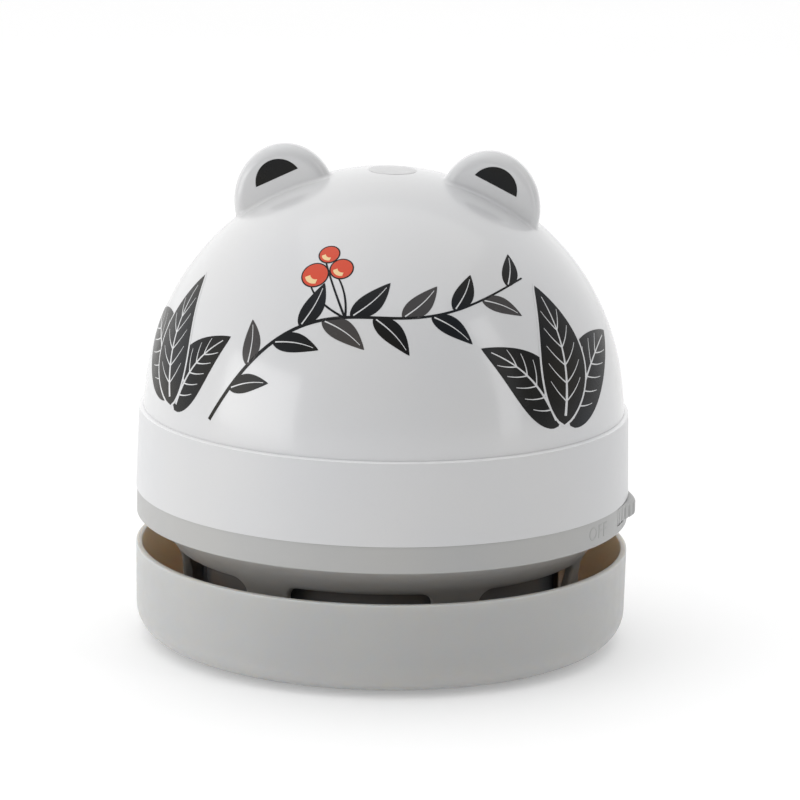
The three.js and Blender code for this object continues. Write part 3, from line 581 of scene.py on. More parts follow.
# ------------------------------------------------------------------- dust drum
def build_drum():
    v, f = turned([
        (27.2, 2.8, 0.2), (32.0, 2.8, 0.4), (32.0, 17.3, 0.15), (30.6, 17.3, 0.15), (30.6, 3.8, 0.3), (27.2, 3.8, 0.2),
    ], n=240)
    put(make("drum_wall", v, f, M["drum_plastic"]), "drum", "dust_drum")
    v, f = turned([
        (23.3, 4.1, 0.15), (30.3, 4.1, 0.15), (30.3, 5.0, 0.15), (24.7, 5.0, 0.3), (24.7, 6.7, 0.5), (15.1, 6.7, 0.2),
        (15.1, 5.3, 0.15), (23.3, 5.3, 0.3),
    ], n=160)
    put(make("drum_base_plate", v, f, M["dark_plastic"]), "drum", "drum_floor")
    v, f = turned([
        (13.4, 5.3, 0.3), (14.8, 5.3, 0.2), (14.8, 7.0, 0.1), (16.6, 7.0, 0.2), (16.6, 7.9, 0.3), (14.8, 7.9, 0.3),
        (14.8, 13.5, 0.5), (13.4, 13.5, 0.5),
    ], n=128)
    put(make("air_tube", v, f, M["dark_plastic"]), "drum", "inlet_tube")

    ring = turned([
        (28.9, 15.5, 0.2), (30.3, 15.5, 0.2), (30.3, 17.6, 0.1), (32.0, 17.6, 0.2), (32.0, 18.8, 0.25), (27.9, 18.8, 0.25),
        (27.9, 17.6, 0.2), (28.9, 17.6, 0.1),
    ], n=192)
    parts = [ring]
    for i in range(3):
        v, f = boxed(-28.4, 28.4, -0.7, 0.7, 17.65, 18.75, 0.25)
        parts.append((turn_z(v, math.radians(60 * i)), f))
    parts.append(turned([(0, 17.65), (3.2, 17.65, 0.2), (3.2, 18.75, 0.25), (2.2, 18.75, 0.1), (1.9, 18.45, 0.1), (0, 18.45)], n=64))
    v, f = merge(parts)
    put(make("grille_frame", v, f, M["dark_plastic"]), "drum", "filter_frame")

    # pleated cloth disc
    nr, na = 98, 288
    R = 28.35
    verts = [(0, 0, 0)]
    for i in range(1, nr + 1):
        r = R * i / nr
        for j in range(na):
            a = TAU * j / na
            verts.append((r * math.cos(a), r * math.sin(a), 0))
    verts = np.array(verts)
    rad = np.hypot(verts[:, 0], verts[:, 1])
    fold = np.abs(((verts[:, 0] / 2.1) % 1.0) * 2 - 1)
    fold = fold * fold * (3 - 2 * fold)
    edge = np.clip((R - rad) / 1.2, 0, 1)
    top = verts.copy()
    top[:, 2] = 17.28 - 0.12 * (1 - edge) - 0.75 * fold * edge
    low = verts.copy()
    low[:, 2] = 15.72 + 0.12 * (1 - edge) + 0.6 * (1 - fold) * edge
    faces = []
    for j in range(na):
        faces.append((0, 1 + j, 1 + (j + 1) % na))
    for i in range(nr - 1):
        b0, b1 = 1 + i * na, 1 + (i + 1) * na
        for j in range(na):
            k = (j + 1) % na
            faces.append((b0 + j, b1 + j, b1 + k, b0 + k))
    n0 = len(verts)
    allf = list(faces) + [tuple(q + n0 for q in reversed(fc)) for fc in faces]
    b = 1 + (nr - 1) * na
    for j in range(na):
        k = (j + 1) % na
        allf.append((b + j, n0 + b + j, n0 + b + k, b + k))
    put(make("pleated_cloth", np.concatenate([top, low]), allf, M["filter_cloth"], angle=50), "drum", "filter_pad")

    v, f = turned([(28.3, 19.1, 0.12), (31.3, 19.1, 0.12), (31.3, 20.1, 0.35), (30.2, 20.1, 0.1), (29.8, 19.8, 0.1), (29.4, 20.1, 0.1),
                   (28.3, 20.1, 0.35)], n=160)
    put(make("soft_seal", v, f, M["black_rubber"]), "drum", "drum_seal")


# --------------------------------------------------------------- lower housing
def loop_offset(loop, d):
    """Moves a closed 2-D loop outward by d along its normals (loop runs counter-clockwise)."""
    p = np.asarray(loop)
    t = np.roll(p, -1, 0) - np.roll(p, 1, 0)
    t /= np.linalg.norm(t, axis=1)[:, None]
    return p + d * np.stack([t[:, 1], -t[:, 0]], 1)


def rounded_rect(cx, cz, w, h, r, step=0.9):
    """Counter-clockwise rounded rectangle."""
    out = []
    hw, hh = w / 2, h / 2
    nc = 9
    for (sx, sz, a0) in ((1, -1, -math.pi / 2), (1, 1, 0.0), (-1, 1, math.pi / 2), (-1, -1, math.pi)):
        for i in range(nc + 1):
            a = a0 + math.pi / 2 * i / nc
            out.append((cx + sx * (hw - r) + r * math.cos(a), cz + sz * (hh - r) + r * math.sin(a)))
    res = []
    m = len(out)
    for i in range(m):
        p, q = np.array(out[i]), np.array(out[(i + 1) % m])
        l = np.linalg.norm(q - p)
        k = max(1, int(round(l / step)))
        for j in range(k):
            res.append(tuple(p + (q - p) * j / k))
    return np.array(res)


def pierced_zone(columns, rows, holes, edge, r_out, r_in, u_scale):
    """A full-circle wall zone between two heights with holes through it.

    columns: number of columns round; rows: heights, first and last are its borders; holes: loops in (u, z)
    with u = angle * u_scale; edge: radius of the eased rim of each hole; r_out, r_in: radius as a function of z.
    Returns vertices, faces, and the border index rings (outer low, outer high, inner low, inner high).
    """
    verts, faces = [], []
    total = TAU * u_scale

    def place(uv, radius):
        a = uv[:, 0] / u_scale
        return np.stack([radius * np.cos(a), radius * np.sin(a), uv[:, 1]], 1)

    def sheet(grow, radius_of, inward):
        """One face of the wall with the holes cut out, as an open strip whose seam is closed by index."""
        us = np.arange(columns + 1) * total / columns
        pts, edges = [], []
        keep = []
        grid_index = {}
        loops = [loop_offset(h, grow) for h in holes]
        for i, z in enumerate(rows):
            for j, u in enumerate(us):
                ok = True
                if 0 < i < len(rows) - 1 and 0 < j < columns:
                    for lp in loops:
                        lo, hi = lp.min(0) - 0.28, lp.max(0) + 0.28
                        if lo[0] < u < hi[0] and lo[1] < z < hi[1]:
                            ok = False
                            break
                if ok:
                    grid_index[(i, j)] = len(pts)
                    pts.append((u, z))
        for j in range(columns):
            edges.append((grid_index[(0, j)], grid_index[(0, j + 1)]))
            edges.append((grid_index[(len(rows) - 1, j)], grid_index[(len(rows) - 1, j + 1)]))
        for i in range(len(rows) - 1):
            edges.append((grid_index[(i, 0)], grid_index[(i + 1, 0)]))
            edges.append((grid_index[(i, columns)], grid_index[(i + 1, columns)]))
        starts = []
        for lp in loops:
            s = len(pts)
            starts.append(s)
            m = len(lp)
            pts += [tuple(q) for q in lp]
            edges += [(s + k, s + (k + 1) % m) for k in range(m)]
        out = delaunay_2d_cdt([Vector(p) for p in pts], edges, [], 0, 1e-7)
        tris = np.array([t for t in out[2]], int)
        vv = np.array([p[:] for p in out[0]])
        orig = out[3]
        remap = {}
        for k, src in enumerate(orig):
            for q in src:
                remap[q] = k
        cen = vv[tris].mean(1)
        good = np.ones(len(tris), bool)
        for lp in loops:
            good &= ~inside(cen, lp)
        tris = tris[good]
        # close the seam: column `columns` is column 0
        seam = {}
        for i in range(len(rows)):
            seam[remap[grid_index[(i, columns)]]] = remap[grid_index[(i, 0)]]
        base = len(verts)
        for p in place(vv, radius_of(vv[:, 1])):
            verts.append(p)
        for t in tris:
            q = [seam.get(int(k), int(k)) for k in t]
            if len(set(q)) < 3:
                continue
            q = [base + k for k in q]
            faces.append(tuple(q) if not inward else tuple(reversed(q)))
        low = [base + remap[grid_index[(0, j)]] for j in range(columns)]
        high = [base + remap[grid_index[(len(rows) - 1, j)]] for j in range(columns)]
        rims = [[base + remap[s + k] for k in range(len(lp))] for s, lp in zip(starts, loops)]
        return low, high, rims

    o_low, o_high, o_rims = sheet(edge, r_out, False)
    i_low, i_high, i_rims = sheet(edge * 0.5, r_in, True)
    steps = 4
    for h, ro, ri in zip(holes, o_rims, i_rims):
        rings = [ro]
        m = len(h)
        for k in range(1, steps + 1):
            w = math.pi / 2 * k / steps
            lp = loop_offset(h, edge * (1 - math.sin(w)))
            depth = edge * (1 - math.cos(w))
            base = len(verts)
            for p in place(lp, r_out(lp[:, 1]) - depth):
                verts.append(p)
            rings.append(list(range(base, base + m)))
        for k in range(0, steps):
            w = math.pi / 2 * (1 - k / steps)
            e = edge * 0.5
            lp = loop_offset(h, e * (1 - math.sin(w)))
            depth = e * (1 - math.cos(w))
            base = len(verts)
            for p in place(lp, r_in(lp[:, 1]) + depth):
                verts.append(p)
            rings.append(list(range(base, base + m)))
        rings.append(ri)
        for a, b in zip(rings[:-1], rings[1:]):
            for k in range(m):
                k2 = (k + 1) % m
                faces.append((a[k], a[k2], b[k2], b[k]))
    return verts, faces, (o_low, o_high, i_low, i_high)


def inside(p, poly):
    """Points inside a closed 2-D loop."""
    x, y = p[:, 0], p[:, 1]
    res = np.zeros(len(p), bool)
    n = len(poly)
    j = n - 1
    for i in range(n):
        xi, yi = poly[i]
        xj, yj = poly[j]
        hit = ((yi > y) != (yj > y)) & (x < (xj - xi) * (y - yi) / (yj - yi + 1e-30) + xi)
        res ^= hit
        j = i
    return res


def smooth_profile(points, step=0.55):
    """A finely stepped curve r(z) through points of increasing height."""
    z = np.array([p[1] for p in points])
    r = np.array([p[0] for p in points])
    zz = np.arange(z[0], z[-1] + 1e-9, 0.01)
    rr = np.interp(zz, z, r)
    k = 160
    w = np.hanning(k + 1)
    w /= w.sum()
    pad = np.concatenate([np.full(k, rr[0]), rr, np.full(k, rr[-1])])
    sm = np.convolve(pad, w, mode="same")[k:-k]
    return lambda q: np.interp(q, zz, sm)


def build_housing():
    cols = 336
    flare = [(35.5, 2.0), (35.5, 12.0), (35.9, 14.8), (36.9, 16.9), (38.6, 19.2), (40.5, 21.1)]
    inner = [(33.9, 2.0), (33.9, 12.0), (35.1, 17.0), (37.0, 20.0), (39.9, 23.2)]
    r_out, r_in = smooth_profile(flare), smooth_profile(inner)
    us = 35.5
    hw = us * math.asin(WINDOW_W / 2 / 35.5)
    # the strip starts in the middle of the wide post at -X
    turn = -math.pi
    loops = [rounded_rect(math.radians((a + 90.0) % 360.0) * us, (WIN_LOW + WIN_TOP) / 2, 2 * hw, WIN_TOP - WIN_LOW, WIN_ROUND, 0.8)
             for a in WINDOW_TURNS]
    rows = np.concatenate([[3.4, 3.9], np.linspace(4.6, 18.2, 19)])
    v1, f1, (ol, oh, il, ih) = pierced_zone(cols, rows, loops, 0.45, r_out, r_in, us)
    v1 = [q for q in turn_z(np.array(v1), turn)]
    verts, faces = list(v1), list(f1)
    ang = np.arange(cols) * TAU / cols + turn
    ca, sa = np.cos(ang), np.sin(ang)

    def ring(r, z):
        b = len(verts)
        for c, s in zip(ca, sa):
            verts.append(np.array([r * c, r * s, z]))
        return list(range(b, b + cols))

    def band(a, b):
        for j in range(cols):
            k = (j + 1) % cols
            faces.append((a[j], a[k], b[k], b[j]))

    # foot: outer border down, round, across, up to the inner border
    foot = rounded([(35.5, 3.4), (35.5, 2.8, 0.3), (33.9, 2.8, 0.3), (33.9, 3.4)], steps=5, closed=False)
    prev = ol
    for r, z in foot[1:-1]:
        cur = ring(r, z)
        band(cur, prev)
        prev = cur
    band(il, prev)

    # outer flare and the lower edge of the ring
    outer = []
    for z in np.arange(18.7, 21.3, 0.45):
        outer.append((float(r_out(z)), float(z)))
    outer += [(40.9, 21.45), (41.35, 21.95, 0.2), (41.7, 22.33, 0.2), (43.6, 22.33, 0.1), (43.85, 22.55, 0.14)]
    lip = rounded([(float(r_out(18.2)), 18.2)] + outer + [(43.85, 23.95)], steps=5, closed=False)
    prev = oh
    for r, z in lip[1:]:
        cur = ring(r, z)
        band(prev, cur)
        prev = cur
    lip_top = prev
    # arc slot zone of the ring wall, (outer 43.85, inner 39.9)
    low_z, high_z = 23.95, 26.45
    u2 = 43.85
    a_mid = math.radians(3.0) - turn
    a_half = math.radians(4.75)
    slot_loop = rounded_rect((a_mid % TAU) * u2, 25.2, 2 * a_half * u2, 1.8, 0.35, 0.45)
    rows2 = np.array([low_z, 24.15, 25.2, 26.25, high_z])
    v2, f2, (ol2, oh2, il2, ih2) = pierced_zone(cols, rows2, [slot_loop], 0.08, lambda z: np.full_like(z, 43.85),
                                                lambda z: np.full_like(z, 39.9), u2)
    v2 = turn_z(np.array(v2), turn)
    off = len(verts)
    verts += [q for q in v2]
    faces += [tuple(off + k for k in q) for q in f2]
    ol2, oh2, il2, ih2 = [[off + k for k in q] for q in (ol2, oh2, il2, ih2)]
    # weld: lip_top has the same places as ol2
    band(lip_top, ol2)
    top = rounded([(43.85, 26.45), (43.85, 27.12, 0.05), (41.5, 27.12, 0.1), (41.5, 31.2, 0.2), (39.9, 31.2, 0.2), (39.9, 26.45)],
                  steps=5, closed=False)
    prev = oh2
    for r, z in top[1:-1]:
        cur = ring(r, z)
        band(prev, cur)
        prev = cur
    band(prev, ih2)
    # inner wall: ring wall down to the neck
    down = rounded([(39.9, 23.95), (39.9, 23.2, 0.4), (37.0, 20.0, 1.0), (float(r_in(18.2)), 18.2)], steps=5, closed=False)
    prev = il2
    for r, z in down[1:-1]:
        cur = ring(r, z)
        band(prev, cur)
        prev = cur
    band(prev, ih)
    o = make("neck_and_ring", np.array(verts), faces, M["grey_plastic"], angle=42)
    bm = bmesh.new()
    bm.from_mesh(o.data)
    bmesh.ops.remove_doubles(bm, verts=bm.verts, dist=2e-7)
    bmesh.ops.recalc_face_normals(bm, faces=bm.faces)
    open_edges = [e for e in bm.edges if len(e.link_faces) != 2]
    if open_edges:
        print("neck_and_ring has", len(open_edges), "open edges")
    bm.to_mesh(o.data)
    bm.free()
    # pocket for the switch tab
    n = 96
    a0, a1 = math.radians(-TAB_HALF - 0.17), math.radians(TAB_HALF + 6.4)
    pv, pf = [], []
    for i in range(n + 1):
        a = a0 + (a1 - a0) * i / n
        for r, z in ((42.75, 23.9), (42.9, 23.78), (46.0, 23.78), (46.0, 29.0), (42.75, 29.0)):
            pv.append((r * math.cos(a), r * math.sin(a), z))
    for i in range(n):
        for j in range(5):
            k = (j + 1) % 5
            pf.append((i * 5 + j, i * 5 + k, (i + 1) * 5 + k, (i + 1) * 5 + j))
    pf += [(4, 3, 2, 1, 0), tuple(n * 5 + j for j in range(5))]
    cut(o, [(np.array(pv), pf)])
    shade(o.data, 42)
    # the neck is a thin wall that lets some light through; the ring above it is solid. The neck's grey is also darker
    # and warmer than the ring's: painted warm shade under the ring
    o.data.materials.append(M["grey_neck"])
    for q in o.data.polygons:
        if q.center.z < 0.0219 and math.hypot(q.center.x, q.center.y) < 0.0415:
            q.material_index = 1
    parts = []
    for i in range(4):
        a = math.radians(45 + 90 * i)
        x, y = 37.2 * math.cos(a), 37.2 * math.sin(a)
        parts.append(turned([(1.5, 24.0, 0.1), (1.5, 31.2, 0.15), (3.1, 31.2, 0.2), (3.1, 22.0, 0.4), (0.0, 22.0), (0.0, 24.0)][::-1],
                            n=48, axis_xy=(x, y)))
    v, f = merge(parts)
    b = make("screw_bosses", v, f, M["grey_plastic"])
    put(o, "upper_housing", "lower_housing")
    put(b, "upper_housing", None)


def build_band():
    v, f = turned([
        (41.8, 27.3, 0.15), (43.3, 27.3, 0.1), (43.4, 27.15, 0.05), (44.0, 27.15, 0.06), (43.56, 41.67, 0.08),
        (42.89, 41.9), (41.5, 41.9, 0.2), (41.5, 35.4, 0.3), (34.0, 35.4, 0.2),
        (34.0, 33.8, 0.2), (41.8, 33.8, 0.1),
    ], n=288, steps=8)
    o = make("waist_band", v, f, M["white_plastic"])
    holes = []
    for i in range(4):
        a = math.radians(45 + 90 * i)
        holes.append(turned([(0, 33), (1.6, 33), (1.6, 36), (0, 36)], n=32, axis_xy=(37.2 * math.cos(a), 37.2 * math.sin(a))))
    cut(o, holes)
    # the small bevel under the dome's foot, in a brighter white: a painted highlight along the seam
    o.data.materials.append(M["white_edge"])
    for q in o.data.polygons:
        if q.center.z > 0.0416 and math.hypot(q.center.x, q.center.y) > 0.04291 and q.normal.z > 0.4:
            q.material_index = 1
    put(o, "upper_housing", "band_shell")


# ------------------------------------------------------------------ switch tab
def swell(deg_):
    """How far the tab stands out of the ring at an angle from its middle."""
    return TAB_RISE * (1 - (deg_ / TAB_HALF) ** 2) ** 5


def build_tab():
    n = 420
    low, high, r_in = 24.0, 26.9, 43.05
    verts, faces = [], []
    m = 0
    for i in range(-1, n + 2):
        t = min(max(i / n, 0.0), 1.0)
        dg = -TAB_HALF + 2 * TAB_HALF * t
        inset = 0.0 if 0 < i < n else (0.03 if i in (0, n) else 0.12)
        a = math.radians(dg) + (0.12 / 43.5 if i == 0 else -0.12 / 43.5 if i == n else 0.0)
        up = swell(dg)
        ro = 43.85 + up - inset
        rb, rt = 0.1 + 0.14 * up, 0.12 + 0.5 * up
        lo, hi = low + inset, high - inset
        groove = 0.0
        for k in range(11):
            d = abs(dg - (-11 + 2.2 * k)) * math.pi / 180 * 44.6
            groove = max(groove, min(0.3, 0.17 + 0.4 * up) * max(0.0, 1 - (d / 0.4) ** 2))
        sec = [(r_in + inset, lo)]
        sec += [(ro - rb + rb * math.cos(w), lo + rb + rb * math.sin(w)) for w in np.linspace(-math.pi / 2, 0, 6)]
        sec += [(ro, lo + rb + (hi - rt - lo - rb) * q) for q in (0.35, 0.7)]
        sec += [(ro - rt + rt * math.cos(w), hi - rt + rt * math.sin(w)) for w in np.linspace(0, math.pi / 2, 10)]
        sec += [(r_in + inset, hi)]
        m = len(sec)
        for r, z in sec:
            if r > r_in + 0.3:
                r -= groove * min(1.0, max(0.0, (26.5 - z) / 0.4))
            verts.append((r * math.cos(a), r * math.sin(a), z))
    rings = n + 3
    for i in range(rings - 1):
        for j in range(m):
            k = (j + 1) % m
            faces.append((i * m + j, i * m + k, (i + 1) * m + k, (i + 1) * m + j))
    faces.append(tuple(range(m - 1, -1, -1)))
    faces.append(tuple((rings - 1) * m + j for j in range(m)))
    stem = boxed(37.6, 43.5, -0.8, 0.8, 24.6, 25.8, 0.15)
    v, f = merge([(np.array(verts), faces), stem])
    put(make("ribbed_tab", v, f, M["grey_plastic"], angle=35), "slide_tab", "switch_tab")


def build_marks():
    """Raised ON and OFF beside the tab's travel."""
    for text, centre in (("OFF", -24.3), ("ON", 29.0)):
        cu = bpy.data.curves.new("mark", "FONT")
        cu.body = text
        cu.size = 3.5
        cu.space_character = 1.12
        cu.align_x = "CENTER"
        cu.align_y = "CENTER"
        cu.offset = -0.005
        cu.extrude = 0.035
        cu.bevel_depth = 0.025
        cu.bevel_resolution = 1
        cu.resolution_u = 4
        ob = bpy.data.objects.new("mark", cu)
        bpy.context.scene.collection.objects.link(ob)
        dg = bpy.context.evaluated_depsgraph_get()
        me = bpy.data.meshes.new_from_object(ob.evaluated_get(dg))
        bpy.data.objects.remove(ob)
        bm = bmesh.new()
        bm.from_mesh(me)
        bmesh.ops.remove_doubles(bm, verts=bm.verts, dist=1e-5)
        bmesh.ops.subdivide_edges(bm, edges=[e for e in bm.edges if e.calc_length() > 0.8], cuts=2)
        bmesh.ops.triangulate(bm, faces=bm.faces)
        for v in bm.verts:
            x, y, z = v.co
            a = math.radians(centre) + x / 43.85
            r = 43.85 + z - 0.01
            v.co = Vector((r * math.cos(a), r * math.sin(a), 24.8 + y)) * MM
        new = bpy.data.meshes.new("mark_" + text.lower())
        bm.to_mesh(new)
        bm.free()
        bpy.data.meshes.remove(me)
        # painted shade: the letters are darker than the ring they stand on
        new.materials.append(M["grey_mark"])
        shade(new, 30)
        o = bpy.data.objects.new("raised_" + text.lower(), new)
        bpy.context.scene.collection.objects.link(o)
        put(o, "upper_housing", None)


# ------------------------------------------------------------------------ dome
def dome_point(d, lift=0.0):
    """Point on the dome's skin in direction d (unit, from the dome's centre)."""
    d = np.asarray(d, float)
    z = DOME_R * d[..., 2]
    rho = np.hypot(d[..., 0], d[..., 1])
    flare = 0.3 * np.exp(-np.maximum(z, 0) / 3)
    k = (DOME_R * rho + flare) / np.maximum(rho, 1e-9)
    p = np.stack([d[..., 0] * k, d[..., 1] * k, z], -1)
    nrm = d
    return p + nrm * lift + np.array([0, 0, DOME_Z])


def ear_sdf(p, side):
    """Signed distance, roughly, to the rounded disc of one ear."""
    x = (p[..., 0] - side * EAR_X) / EAR_SX
    z = p[..., 2] - EAR_Z
    y = p[..., 1] - (EAR_Y + EAR_T / 2)
    q = np.hypot(x, z) - (EAR_R - EAR_ROUND)
    w = np.abs(y) - (EAR_T / 2 - EAR_ROUND)
    out = np.hypot(np.maximum(q, 0), np.maximum(w, 0))
    return out + np.minimum(np.maximum(q, w), 0) - EAR_ROUND


def body_sdf(p, side, k=0.8):
    """Dome and ear joined with a small fillet."""
    a = np.linalg.norm(p - np.array([0, 0, DOME_Z]), axis=-1) - DOME_R
    b = ear_sdf(p, side)
    h = np.maximum(k - np.abs(a - b), 0) / k
    return np.minimum(a, b) - h * h * k * 0.25


def sdf_normal(p, side, e=1e-3):
    g = np.zeros_like(p)
    for i in range(3):
        d = np.zeros(3)
        d[i] = e
        g[..., i] = body_sdf(p + d, side) - body_sdf(p - d, side)
    return g / np.linalg.norm(g, axis=-1)[..., None]


def ear_patch(side, gamma, nw=192, nm=104):
    """Skin round one ear out to a circle on the dome, as a fan of curves from the ear's crown."""
    O = np.array([0, 0, DOME_Z])
    E = np.array([side * EAR_X, EAR_Y + EAR_T / 2, EAR_Z])
    a = (E - O) / np.linalg.norm(E - O)
    S = O + a * (np.linalg.norm(E - O) * 0.85)
    u = np.cross(a, [0, 0, 1.0])
    u /= np.linalg.norm(u)
    w = np.cross(a, u)
    rim = O + DOME_R * (math.cos(gamma) * a + math.sin(gamma) * u)
    v = rim - S
    psi_max = math.acos(float(v @ a) / np.linalg.norm(v))
    dense = 700
    psi = np.linspace(0, psi_max, dense)
    om = np.arange(nw) * TAU / nw
    d = (np.cos(psi)[None, :, None] * a + np.sin(psi)[None, :, None] *
         (np.cos(om)[:, None, None] * u + np.sin(om)[:, None, None] * w))
    lo = np.zeros(d.shape[:2])
    hi = np.full(d.shape[:2], 32.0)
    for _ in range(34):
        mid = (lo + hi) / 2
        f = body_sdf(S + d * mid[..., None], side)
        neg = f < 0
        lo = np.where(neg, mid, lo)
        hi = np.where(neg, hi, mid)
    P = S + d * lo[..., None]
    # even steps along each curve, denser where it bends
    out = np.zeros((nw, nm + 1, 3))
    for i in range(nw):
        c = P[i]
        seg = np.diff(c, axis=0)
        l = np.linalg.norm(seg, axis=1)
        t = seg / l[:, None]
        bend = np.concatenate([[0], np.linalg.norm(np.diff(t, axis=0), axis=1)])
        cost = l + 1.1 * np.convolve(bend, np.ones(9) / 9, mode="same")
        s = np.concatenate([[0], np.cumsum(cost)])
        q = np.linspace(0, s[-1], nm + 1)
        for k in range(3):
            out[i, :, k] = np.interp(q, s, c[:, k])
    # back onto the skin
    for _ in range(3):
        nn = sdf_normal(out, side)
        out = out - nn * body_sdf(out, side)[..., None]
    out[:, 0] = out[:, 0].mean(0)
    rimdir = (math.cos(gamma) * a + math.sin(gamma) * (np.cos(om)[:, None] * u + np.sin(om)[:, None] * w))
    out[:, -1] = dome_point(rimdir)
    return out, rimdir, a


def build_dome():
    gamma = math.radians(17.0)
    nphi = 288
    verts, faces = [], []
    patches = []
    for side in (-1, 1):
        grid, rimdir, a = ear_patch(side, gamma)
        patches.append((grid, rimdir, a))
    # outside: polar grid in the plane of (polar angle, azimuth), holes for the two ears
    a_max = math.pi / 2 - math.asin((DOME_FOOT_Z + 0.25 - DOME_Z) / DOME_R)
    nring = 84
    pts, edges = [(0.0, 0.0)], []
    dirs = [np.array([0, 0, 1.0])]
    margin = gamma + math.radians(0.45)
    outer = []
    for i in range(1, nring + 1):
        al = a_max * i / nring
        n_here = nphi if al > 0.5 else (nphi // 2 if al > 0.2 else nphi // 4)
        for j in range(n_here):
            ph = TAU * j / n_here
            dv = np.array([math.sin(al) * math.cos(ph), math.sin(al) * math.sin(ph), math.cos(al)])
            if i < nring and any(float(dv @ p[2]) > math.cos(margin) for p in patches):
                continue
            if i == nring:
                outer.append(len(pts))
            pts.append((al * math.cos(ph), al * math.sin(ph)))
            dirs.append(dv)
    edges += [(outer[k], outer[(k + 1) % len(outer)]) for k in range(len(outer))]
    rims, polys = [], []
    for grid, rimdir, a in patches:
        s = len(pts)
        m = len(rimdir)
        poly = []
        for dv in rimdir:
            al = math.acos(max(-1, min(1, dv[2])))
            ph = math.atan2(dv[1], dv[0])
            pts.append((al * math.cos(ph), al * math.sin(ph)))
            poly.append(pts[-1])
            dirs.append(dv)
        edges += [(s + k, s + (k + 1) % m) for k in range(m)]
        rims.append(list(range(s, s + m)))
        polys.append(np.array(poly))
    out = delaunay_2d_cdt([Vector(p) for p in pts], edges, [], 0, 1e-9)
    vv = np.array([p[:] for p in out[0]])
    tris = np.array(out[2], int)
    remap = {}
    for k, src in enumerate(out[3]):
        for q in src:
            remap[q] = k
    cen = vv[tris].mean(1)
    good = np.ones(len(tris), bool)
    for poly in polys:
        good &= ~inside(cen, poly)
    ring_r = a_max * math.cos(math.pi / nphi) * 0.9999
    tris = tris[good]
    D = np.zeros((len(vv), 3))
    for src, k in remap.items():
        D[k] = dirs[src]
    P = dome_point(D)
    verts = [p for p in P]
    faces = [tuple(int(k) for k in t) for t in tris]
    nrm = [n for n in D]
    # ear skins
    for (grid, rimdir, a), rim in zip(patches, rims):
        nw, nm1, _ = grid.shape
        side = 1 if a[0] > 0 else -1
        N = sdf_normal(grid, side)
        idx = np.zeros((nw, nm1), int)
        idx[:, -1] = [remap[q] for q in rim]
        idx[:, 0] = len(verts)
        verts.append(grid[0, 0])
        nrm.append(N[0, 0])
        for j in range(1, nm1 - 1):
            for i in range(nw):
                idx[i, j] = len(verts)
                verts.append(grid[i, j])
                nrm.append(N[i, j])
        for i in range(nw):
            k = (i + 1) % nw
            faces.append((idx[i, 0], idx[i, 1], idx[k, 1]))
            for j in range(1, nm1 - 1):
                faces.append((idx[i, j], idx[i, j + 1], idx[k, j + 1], idx[k, j]))
    n_skin = len(verts)
    # foot, spigot and inside
    ang = np.arange(nphi) * TAU / nphi
    ca, sa = np.cos(ang), np.sin(ang)
    prev = [remap[q] for q in outer]
    r_foot = float(np.hypot(*P[prev[0]][:2]))
    z_foot = float(P[prev[0]][2])
    prof = rounded([(r_foot, z_foot), (42.87, DOME_FOOT_Z, 0.03), (41.2, DOME_FOOT_Z, 0.1), (41.2, 37.0, 0.3), (39.7, 37.0, 0.3),
                    (39.7, 43.0, 0.4), (40.74, 44.1)], steps=6, closed=False)
    inner = []
    for i in range(0, 41):
        al = math.radians(86.9) * (1 - i / 40)
        inner.append((DOME_IN * math.sin(al), DOME_Z + DOME_IN * math.cos(al)))
    prof = prof[:-1] + inner
    for r, z in prof[1:]:
        if r < 1e-6:
            c = len(verts)
            verts.append(np.array([0, 0, z]))
            nrm.append(np.array([0, 0, -1.0]))
            for j in range(nphi):
                faces.append((prev[j], prev[(j + 1) % nphi], c))
            break
        cur = list(range(len(verts), len(verts) + nphi))
        for c, s in zip(ca, sa):
            verts.append(np.array([r * c, r * s, z]))
        for j in range(nphi):
            k = (j + 1) % nphi
            faces.append((prev[j], prev[k], cur[k], cur[j]))
        prev = cur
    o = make("dome_shell", np.array(verts), faces, M["white_gloss"], angle=40)
    bm = bmesh.new()
    bm.from_mesh(o.data)
    loose = sum(1 for e in bm.edges if len(e.link_faces) != 2)
    if loose:
        print("dome_shell has", loose, "open edges")
    bm.free()
    put(o, "dome", "dome_cover")


# -------------------------------------------------------------------- ornament
def frame_at(lam, beta):
    """Centre direction, east and north at azimuth lam from the front toward +X, latitude beta above the dome's equator."""
    l, b = math.radians(lam), math.radians(beta)
    c = np.array([math.cos(b) * math.sin(l), -math.cos(b) * math.cos(l), math.sin(b)])
    e = np.array([math.cos(l), math.sin(l), 0.0])
    n = np.cross(c, e) * 1.0
    n = np.array([-math.sin(b) * math.sin(l), math.sin(b) * math.cos(l), math.cos(b)])
    return c, e, n


def on_dome(uv, lam, beta, turn=0.0):
    """Directions on the dome of local millimetre points round a centre."""
    c, e, n = frame_at(lam, beta)
    uv = np.asarray(uv, float)
    t = math.radians(turn)
    x = uv[:, 0] * math.cos(t) - uv[:, 1] * math.sin(t)
    y = uv[:, 0] * math.sin(t) + uv[:, 1] * math.cos(t)
    d = np.hypot(x, y)
    k = d / DOME_R
    s = np.where(d > 1e-9, np.sin(k) / np.maximum(d, 1e-9), 1 / DOME_R)
    return np.cos(k)[:, None] * c + (x * s)[:, None] * e + (y * s)[:, None] * n


